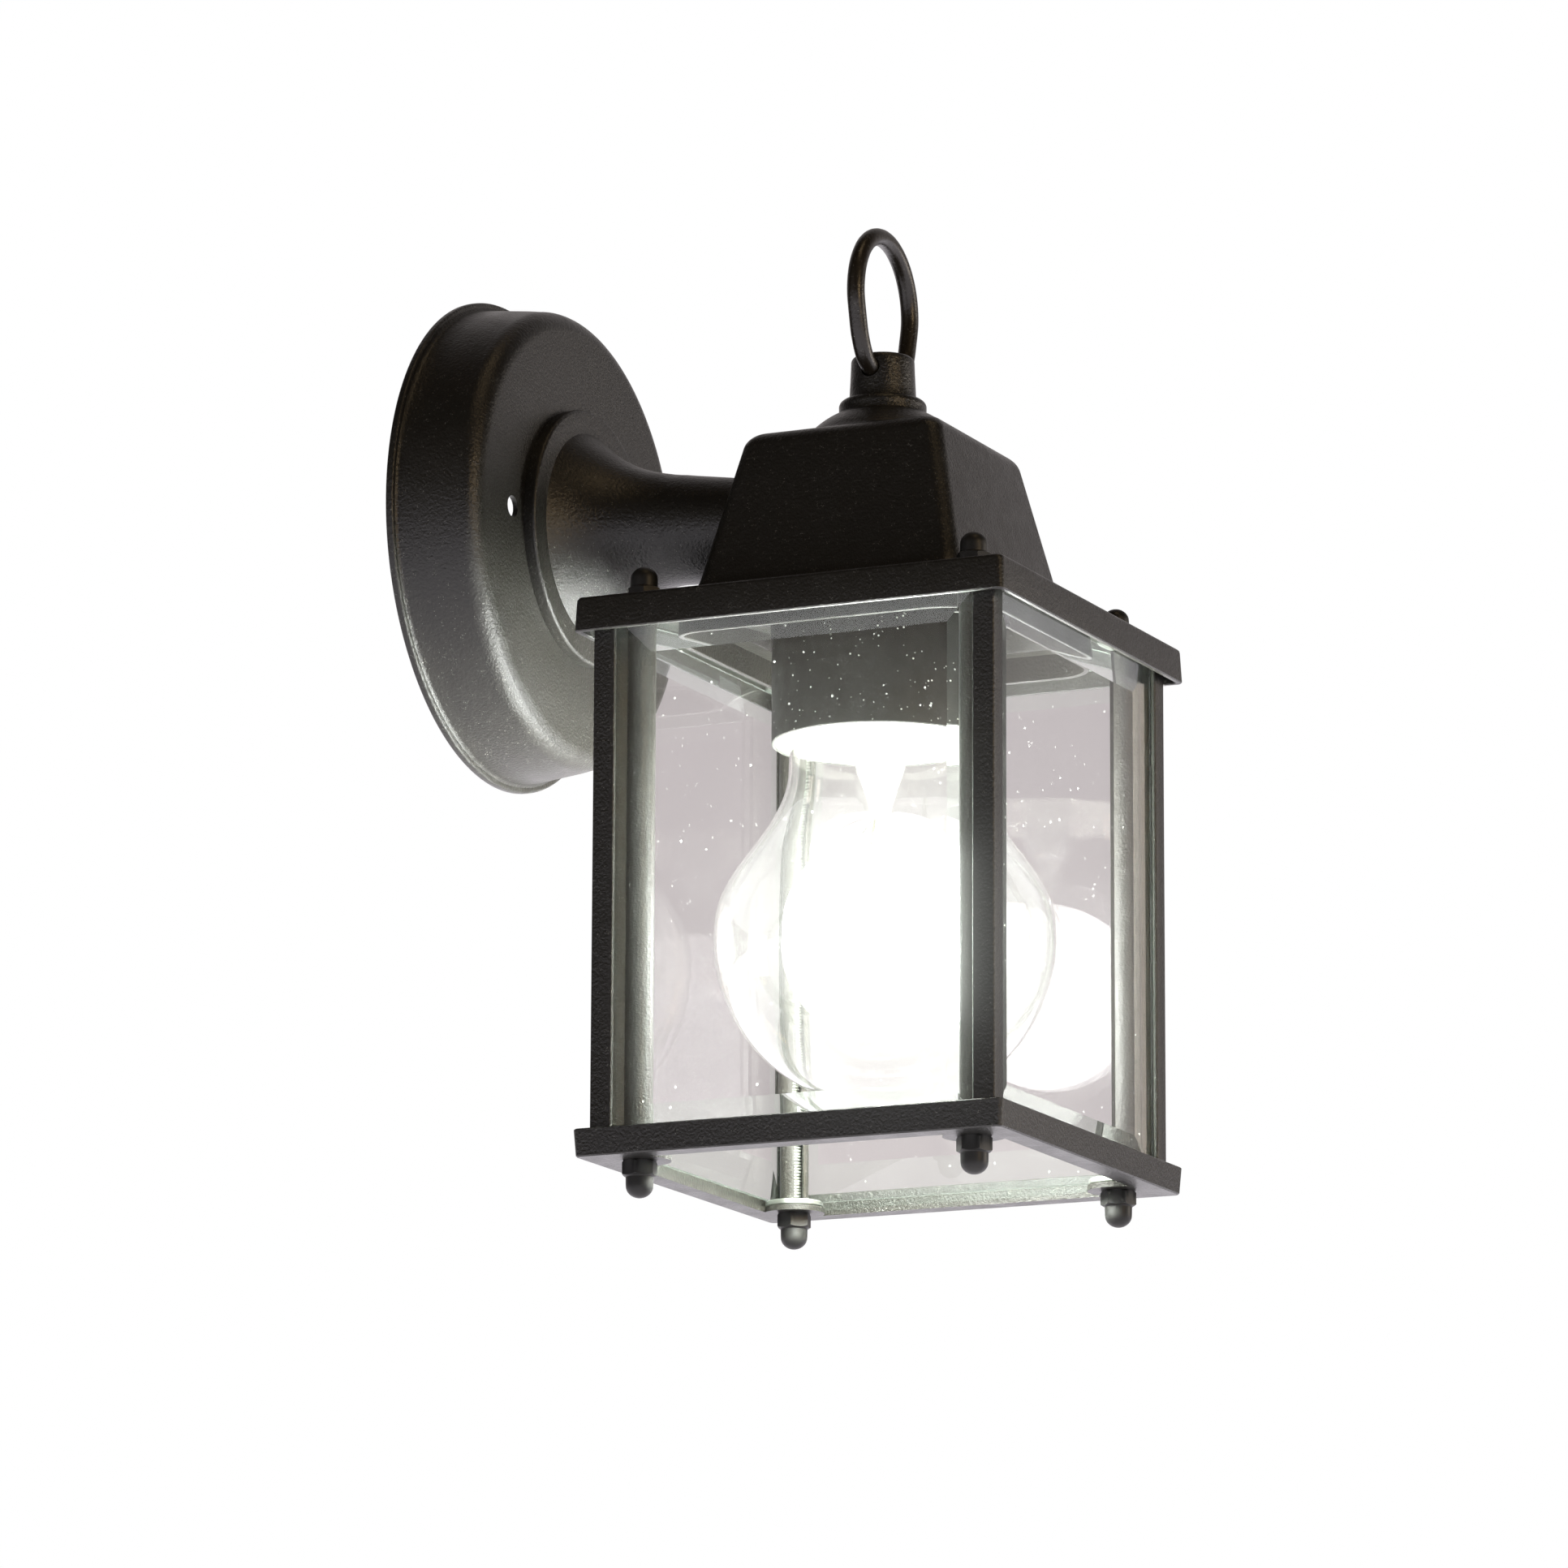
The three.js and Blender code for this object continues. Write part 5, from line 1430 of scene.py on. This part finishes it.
    def metal_parts(self, place: Matrix) -> None:
        """The screw shell and the centre contact."""
        rings = helical_rings(14.25, 0.35, -2.0, 19.4)
        inner = helical_rings(13.75, 0.25, -2.0, 19.4)
        lid = [plain_ring(14.2, 20.0), plain_ring(5.5, 20.0), plain_ring(5.5, 19.7)]
        lid.append(plain_ring(13.7, 19.7))
        bottom = [plain_ring(13.95, self.bottom + 0.6), plain_ring(14.4, self.bottom + 0.6)]
        shape = Shape().loft(bottom + rings + lid + list(reversed(inner)), wrap=True)
        piece = make_object("holder_screw_shell", shape, place, [Finishes.BRASS], 50)
        hand_over(piece, FIXTURE, "brass", ["lampholder_shell"])
        profile: Profile = [(0, 22.5), (3.8, 22.6), (4.6, 22.8), (4.6, 23.2), (1.2, 23.2)]
        profile += [(1.2, self.top + 0.3), (0.8, self.top + 0.6), (0, self.top + 0.6)]
        contact = make_object(
            "holder_centre_contact", Shape().turned(profile, 32), place, [Finishes.BRASS]
        )
        hand_over(contact, FIXTURE, "brass", ["centre_contact"])


def helical_rings(
    radius: float, depth: float, bottom: float, top: float, sides: int = 72
) -> list[Ring]:
    """Rings of the cap's rolled thread: the wave climbs one pitch for each turn.

    Args:
        radius: Mean radius.
        depth: Height of the wave above and below the mean.
        bottom: Height of the first ring.
        top: Height of the last ring.
        sides: Points on each ring.

    Returns:
        The rings, from the bottom up.
    """
    count = int((top - bottom) / CAP_PITCH * 10)
    rings = []
    for i in range(count + 1):
        z = bottom + (top - bottom) * i / count
        fade = min(1.0, (z - bottom) / 1.5, (top - z) / 1.5)
        ring = []
        for k in range(sides):
            a = 2 * math.pi * k / sides
            r = radius + depth * fade * math.cos(2 * math.pi * z / CAP_PITCH - a)
            ring.append((r * math.cos(a), r * math.sin(a), z))
        rings.append(ring)
    return rings


# ---- Bulb ---------------------------------------------------------------------------------------
@dataclass
class Bulb:
    """The lamp: a clear pear-shaped envelope, a screw cap, and a coil on a glass stem."""

    globe_r: float = 37.2
    centre: float = -72.6
    neck_r: float = 20.5
    neck_z: float = -34.0
    wall: float = 0.7
    seal_r: float = 12.2
    cap_r: float = 13.1
    cap_bottom: float = -5.0
    cap_top: float = 19.4
    coil_z: float = -61.0
    press_top: float = -34.0
    lamp_watts: float = 13.0
    lamp_colour: tuple[float, float, float] = (0.97, 1.0, 0.94)
    lamp_z: float = -70.0
    lamp_r: float = 27.0

    def outline(self, inset: float) -> Profile:
        """The glass's outline from its bottom pole up to the cap, moved inwards by inset."""
        made = arc(0, self.centre, self.globe_r - inset, -90, 8, 44)
        x, y = made[-1]
        lean = math.radians(8)
        neck, waist = self.neck_r - inset, self.neck_z
        ahead = (x - 11 * math.sin(lean), y + 11 * math.cos(lean))
        made += bezier(((x, y), ahead, (neck, waist - 13), (neck, waist)), 22)
        seal = self.seal_r - inset
        last = self.cap_bottom - 1.5
        made += bezier(((neck, waist), (neck, waist + 16), (seal, -14.0), (seal, last)), 16)
        made.append((seal, self.cap_bottom + 4))
        return made

    def build(self, datum: Datum) -> None:
        """Makes the bulb's pieces; all of them ride on the bulb."""
        place = datum.lantern()
        glass = self.outline(0) + list(reversed(self.outline(self.wall)))
        envelope = make_object(
            "bulb_envelope", Shape().turned(glass, 128), place, [Finishes.BULB], 60
        )
        hand_over(envelope, BULB_BODY, "bulb_glass", ["bulb_glass"])
        self.cap(place)
        self.mount(place, datum)
        self.light(datum)

    def cap(self, place: Matrix) -> None:
        """The rolled screw cap, the glass insulator and the solder contact."""
        thread = helical_rings(self.cap_r - 0.45, 0.4, 0.0, self.cap_top - 3)
        inner = [plain_ring(self.cap_r - 1.4, z) for z in (self.cap_top - 3, self.cap_bottom)]
        skirt = [plain_ring(self.cap_r - 0.5, self.cap_bottom), plain_ring(self.cap_r, -4.6)]
        skirt += [plain_ring(self.cap_r, -1.2), plain_ring(self.cap_r - 0.4, -0.4)]
        crown = [plain_ring(self.cap_r - 1.2, self.cap_top - 1.9), plain_ring(9.8, self.cap_top)]
        crown += [plain_ring(5.3, self.cap_top), plain_ring(5.3, self.cap_top - 0.4)]
        crown += [plain_ring(9.4, self.cap_top - 0.5)]
        shape = Shape().loft(skirt + thread + crown + inner, wrap=True)
        cap = make_object("bulb_screw_cap", shape, place, [Finishes.NICKEL], 50)
        hand_over(cap, BULB_BODY, "brass", ["bulb_cap"])
        top = self.cap_top
        profile: Profile = [(0, top - 1), (5.0, top - 1), (5.2, top + 0.2)]
        profile += arc(3.6, top + 0.2, 1.4, 0, 90, 6) + [(0, top + 1.6)]
        insulator = make_object(
            "bulb_insulator_glass", Shape().turned(profile, 48), place, [Finishes.VITRITE]
        )
        hand_over(insulator, BULB_BODY, "vitrite", ["bulb_insulator"])
        low = top + 1.65
        button: Profile = [(0, low), (3.2, low), (3.0, low + 0.35), (1.8, low + 0.7)]
        contact = make_object(
            "bulb_solder_contact",
            Shape().turned(button + [(0, low + 0.8)], 40),
            place,
            [Finishes.SOLDER],
        )
        hand_over(contact, BULB_BODY, "steel", ["bulb_contact"])

    def mount(self, place: Matrix, datum: Datum) -> None:
        """The glass stem, the lead-in and support wires, and the coil that they carry."""
        profile: Profile = [(0, -46.0), (2.2, -45.7), (2.9, -44.6), (3.3, -42.0), (4.6, -38.0)]
        profile += [(5.5, -34.0), (5.6, -28.0), (5.6, -18.0), (6.2, -10.0), (8.0, -5.5)]
        profile += [(10.6, -3.0), (10.0, -2.4), (7.0, -4.8), (5.2, -10.0), (4.8, -18.0)]
        profile += [(4.8, -28.0), (4.4, -33.0), (2.8, -37.0), (0, -38.0)]
        shape = Shape().turned(profile, 48)
        shape.verts = [self.pinched(v) for v in shape.verts]
        stem = make_object("bulb_stem_glass", shape, place, [Finishes.STEM])
        hand_over(stem, BULB_BODY, "bulb_glass", ["bulb_stem"])
        coil = CoiledFilament()
        wires = Shape()
        end = math.radians(90 - coil.sweep / 2)
        tip = (coil.arc_radius * math.cos(end), coil.arc_radius * math.sin(end), self.coil_z)
        for side in (-1, 1):
            run = [(side * 2.0, 0, -44), (side * 3.4, 0, -48), (side * 8.4, tip[1] * 0.6, -54)]
            run.append((side * tip[0], tip[1], self.coil_z))
            wires.loft(tube_rings(smooth_path(run, 24), 0.32, 8))
        for degrees in (50, 90, 130):
            a = math.radians(degrees)
            hook = (coil.arc_radius * math.cos(a), coil.arc_radius * math.sin(a), self.coil_z)
            start = (0.9 * math.cos(a), 0.9 * math.sin(a), -44.5)
            wires.loft(tube_rings(smooth_path([start, hook], 6), 0.16, 6))
        supports = make_object("bulb_support_wires", wires, place, [Finishes.NICKEL])
        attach(supports, BULB_BODY)
        filament = coil.build(self.coil_z, datum)
        hand_over(filament, BULB_BODY, "steel", ["bulb_filament"])

    def pinched(self, vert: Point) -> Point:
        """Flattens the stem's free end into the press that holds the wires."""
        x, y, z = vert
        share = min(1.0, max(0.0, (self.press_top - z) / 8))
        return x * (1 + 0.5 * share), y * (1 - 0.45 * share), z

    def light(self, datum: Datum) -> None:
        """The light that the coil gives, which goes where the bulb goes."""
        lamp = bpy.data.lights.new("coil_light", "POINT")
        lamp.energy = self.lamp_watts
        lamp.color = self.lamp_colour
        lamp.shadow_soft_size = self.lamp_r * MM
        holder = bpy.data.objects.new("coil_light", lamp)
        holder.location = Vector((0, datum.axis_y, datum.flange_z + self.lamp_z)) * MM
        bpy.context.scene.collection.objects.link(holder)
        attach(holder, BULB_BODY)


# ---- Wiring -------------------------------------------------------------------------------------
@dataclass
class Wiring:
    """The leads from the holder to the terminal block, and the arm's screws, inside the canopy."""

    lead_r: float = 0.95
    block_top: float = -25.0
    block_y: float = -14.5
    face_y: float = -19.5
    pole_x: tuple[float, float, float] = (-6.0, 0.0, 6.0)

    def build(self, datum: Datum) -> None:
        """Makes the leads, the block with its screws, and the arm's screws."""
        plain = Matrix.Identity(4)
        runs = {"live": self.to_holder(-1, datum), "neutral": self.to_holder(1, datum)}
        runs["earth"] = self.earth_run()
        finishes = {"live": Finishes.LIVE, "neutral": Finishes.NEUTRAL, "earth": Finishes.EARTH}
        slots = {"live": "lead_black", "neutral": "lead_white", "earth": "lead_green"}
        for name, points in runs.items():
            rings = tube_rings(smooth_path(points, 110), self.lead_r, 16)
            piece = make_object(f"{name}_lead", Shape().loft(rings), plain, [finishes[name]])
            hand_over(piece, FIXTURE, slots[name], [f"lead_{name}"])
        self.block(plain)
        self.arm_screws()

    def to_holder(self, side: int, datum: Datum) -> list[Point]:
        """The way of the live or neutral lead, from the holder's top through the arm."""
        y, up = datum.axis_y + 9, 27.5 + datum.flange_z
        return [
            (side * 4.5, y, up - 2.6),
            (side * 4.5, y, up + 1),
            (side * 4.2, y + 1.6, up + 3.6),
            (side * 3.2, y + 5.2, up + 3.4),
            (side * 2, y + 9, up + 0.6),
            (side * 1.7, -74, -0.6),
            (side * 1.7, -66, -0.6),
            (side * 1.8, -56, -0.6),
            (side * 2.2, -40, -1),
            (side * 3, -26, -2),
            (side * 4, -18, -5.4),
            (side * 5.4, self.block_y, -12),
            (side * 6, self.block_y, -20),
            (side * 6, self.block_y, self.block_top - 3.4),
        ]

    def earth_run(self) -> list[Point]:
        """The way of the earth lead, from the block to the tag under the first arm screw."""
        x, z = arm_screw_places()[0]
        return [
            (0, self.block_y, self.block_top - 3.4),
            (0, self.block_y, self.block_top + 2),
            (0.4, self.block_y + 1, self.block_top + 5),
            (3.5, self.block_y + 4, -16),
            (12, self.block_y + 4, -8),
            (21, self.block_y + 1, -2),
            (x + 7.3, self.face_y + 1.7, z - 5.6),
            (x + 5.2, self.face_y + 2.2, z - 3.6),
        ]

    def block(self, place: Matrix) -> None:
        """The nylon terminal block: three poles with entries above and below and a screw each."""
        face, top = self.face_y, self.block_top
        back, bottom = face + 9.0, top - 11.0
        outline = [(-9.5, face), (9.5, face), (9.5, back), (-9.5, back)]
        body = Shape().prism(outline, bottom, top)
        housing = make_object("terminal_block_housing", body, place, [Finishes.NYLON])
        tab = [(-4.5, face), (4.5, face), (4.5, face + 1.5), (-4.5, face + 1.5)]
        ear = Shape().prism(tab, top - 2, 4.5 - ARM_SCREW_RING)
        carved(housing, ear, place, "UNION")
        bevelled(housing, 0.5)
        holes, screws = Shape(), Shape()
        sideways = Matrix.Rotation(-math.pi / 2, 4, "X")
        middle = bottom + 5.5
        for x in self.pole_x:
            for low, high in ((bottom - 2, bottom + 4), (top - 4, top + 5)):
                entry = pin(1.35, low, high, 24)
                holes.joined(entry.copied(Matrix.Translation((x, self.block_y, 0))))
            side = Matrix.Translation((x, back, middle)) @ sideways
            well = Shape().turned([(0, -4.0), (1.7, -4.0), (1.9, 2.0), (0, 2.0)], 28)
            holes.joined(well.copied(side))
            head: Profile = [(0, -4.2), (1.5, -4.2), (1.5, -2.6), (1.2, -2.2), (0, -2.2)]
            screws.joined(Shape().turned(head, 28).copied(side))
        fix = pin(2.3, 10.0, 24.0, 28)
        holes.joined(fix.copied(FACING_OUT @ Matrix.Translation((0, -ARM_SCREW_RING, 0))))
        carved(housing, holes, place)
        hand_over(housing, FIXTURE, "nylon", ["terminal_block"])
        brass = make_object("terminal_screws", screws, place, [Finishes.BRASS])
        slots = Shape()
        for x in self.pole_x:
            outline = [(x - 2, back - 2.7), (x + 2, back - 2.7), (x + 2, back), (x - 2, back)]
            slots.joined(Shape().prism(outline, middle - 0.22, middle + 0.22))
        carved(brass, slots, place)
        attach(brass, FIXTURE)

    def arm_screws(self) -> None:
        """Three pan-head screws with cross recesses, driven from inside the canopy."""
        for number, (x, z) in enumerate(arm_screw_places(), 1):
            node = f"arm_screw_{number}"
            low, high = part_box(node)
            face, tip = -high.y / MM, -low.y / MM
            profile: Profile = [(0, face), (1.6, face + 0.05), (2.9, face + 0.5)]
            profile += [(3.45, face + 1.3), (3.6, face + 2.1), (3.5, face + 2.4)]
            profile += [(2.0, face + 2.4), (2.0, tip - 0.5), (1.5, tip), (0, tip)]
            place = Matrix.Translation((x, 0, z)) @ FACING_OUT
            piece = make_object(
                f"arm_screw_pan_head_{number}", Shape().turned(profile, 40), place, [Finishes.ZINC]
            )
            for wide, tall in ((1.9, 0.38), (0.38, 1.9)):
                outline = [(-wide, -tall), (wide, -tall), (wide, tall), (-wide, tall)]
                carved(piece, Shape().prism(outline, face - 1, face + 1.3), place)
            hand_over(piece, FIXTURE, "steel", [node])


# ---- Studio -------------------------------------------------------------------------------------
@dataclass
class Studio:
    """Camera, backdrop light and floor."""

    lens: float = 183.0
    sensor: float = 36.0
    camera_mm: Point = (-1591.85, -818.98, -439.3)
    right: Point = (0.42368, -0.90580, 0.00417)
    up: Point = (-0.19185, -0.08523, 0.97772)
    behind: Point = (0.905, 0.424, 0.05)
    dim: int = 0x332C26
    bright: int = 0xDCD5D4
    floor_z: float = -1.3
    floor_half: float = 40.0
    aim: Point = (0.0, -0.08, -0.03)

    def camera(self) -> None:
        """Stands the camera below the lantern, to its left."""
        data = bpy.data.cameras.new("camera")
        data.lens = self.lens
        data.sensor_width = self.sensor
        data.clip_start, data.clip_end = 0.05, 200.0
        camera = bpy.data.objects.new("camera", data)
        right, up = Vector(self.right), Vector(self.up)
        turn = Matrix((right, up, right.cross(up))).transposed()
        camera.matrix_world = Matrix.Translation(Vector(self.camera_mm) * MM) @ turn.to_4x4()
        bpy.context.scene.collection.objects.link(camera)
        bpy.context.scene.camera = camera

    def world(self) -> None:
        """A plain white surround to the eye, which lights the lantern softly and mostly from behind."""
        world = bpy.data.worlds.new("studio")
        world.use_nodes = True
        tree = world.node_tree
        tree.nodes.clear()
        toward = add(tree, "ShaderNodeTexCoord").outputs["Object"]
        pair = {0: toward, 1: self.behind}
        facing = add(tree, "ShaderNodeVectorMath", pair, operation="DOT_PRODUCT").outputs["Value"]
        limits = {"Value": facing, "From Min": 0.3, "From Max": 0.95}
        share = add(tree, "ShaderNodeMapRange", limits).outputs["Result"]
        mix = {0: share, 6: linear(self.dim), 7: linear(self.bright)}
        colour = add(tree, "ShaderNodeMix", mix, data_type="RGBA").outputs[2]
        soft = add(tree, "ShaderNodeBackground", {"Color": colour}).outputs[0]
        white = add(tree, "ShaderNodeBackground", {"Color": (1.0, 1.0, 1.0, 1.0)}).outputs[0]
        seen = add(tree, "ShaderNodeLightPath").outputs["Is Camera Ray"]
        mixed = add(tree, "ShaderNodeMixShader", {0: seen, 1: soft, 2: white}).outputs[0]
        add(tree, "ShaderNodeOutputWorld", {"Surface": mixed})
        bpy.context.scene.world = world

    def floor(self) -> None:
        """A plain pale floor far below the lantern."""
        mesh = bpy.data.meshes.new("floor")
        h, z = self.floor_half, self.floor_z
        mesh.from_pydata([(-h, -h, z), (h, -h, z), (h, h, z), (-h, h, z)], [], [(0, 1, 2, 3)])
        mesh.materials.append(Finishes.FLOOR.material())
        floor = bpy.data.objects.new("floor", mesh)
        bpy.context.scene.collection.objects.link(floor)

    def area(self, name: str, place: Point, size: float, watts: float, hue: int) -> None:
        """One soft box, aimed at the lantern.

        Args:
            name: The light's name.
            place: Where it stands, in metres.
            size: Its edge, in metres.
            watts: Its power.
            hue: Its colour as 0xRRGGBB.
        """
        data = bpy.data.lights.new(name, "AREA")
        data.shape = "SQUARE"
        data.size = size
        data.energy = watts
        data.color = linear(hue)[:3]
        box = bpy.data.objects.new(name, data)
        box.location = place
        ahead = Vector(self.aim) - Vector(place)
        box.rotation_euler = ahead.to_track_quat("-Z", "Y").to_euler()
        bpy.context.scene.collection.objects.link(box)

    def lights(self) -> None:
        """Soft boxes to the left, the right and above."""
        self.area("soft_box_left", (-0.6, -1.45, 0.35), 0.35, 5.0, 0xFFDCA8)
        self.area("soft_box_side", (-1.35, 0.45, 0.45), 1.0, 0.7, 0xFFEFD8)
        self.area("soft_box_right", (0.9, -1.5, 0.1), 0.7, 8.0, 0xFFF2E2)
        self.area("soft_box_top", (-0.3, -0.5, 1.5), 0.5, 2.0, 0xFFDFB0)

    def glare(self) -> None:
        """The lens's own glow round the lit coil, and plain display colours."""
        scene = bpy.context.scene
        scene.view_settings.view_transform = "Standard"
        scene.use_nodes = True
        tree = scene.node_tree
        tree.nodes.clear()
        picture = add(tree, "CompositorNodeRLayers").outputs["Image"]
        lens = {"Image": picture, "Threshold": 2.0, "Size": 0.75, "Strength": 0.13}
        glow = add(tree, "CompositorNodeGlare", lens, glare_type="FOG_GLOW").outputs["Image"]
        add(tree, "CompositorNodeComposite", {"Image": glow})

    def build(self) -> None:
        """Sets the whole studio."""
        self.camera()
        self.world()
        self.floor()
        self.lights()
        self.glare()


def main() -> None:
    logging.basicConfig(level=logging.INFO, format="%(message)s")
    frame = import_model()
    Studio().build()
    datum = Datum.from_frame()
    roof = Roof()
    WallCanopy().build()
    Arm().build(datum, roof)
    roof.build(datum)
    Finial().build(datum)
    HangingRing().build(datum)
    Cage().build(datum)
    Lampholder().build(datum, frame["nodes"])
    Bulb().build(datum)
    Wiring().build(datum)


if __name__ == "__main__":
    main()
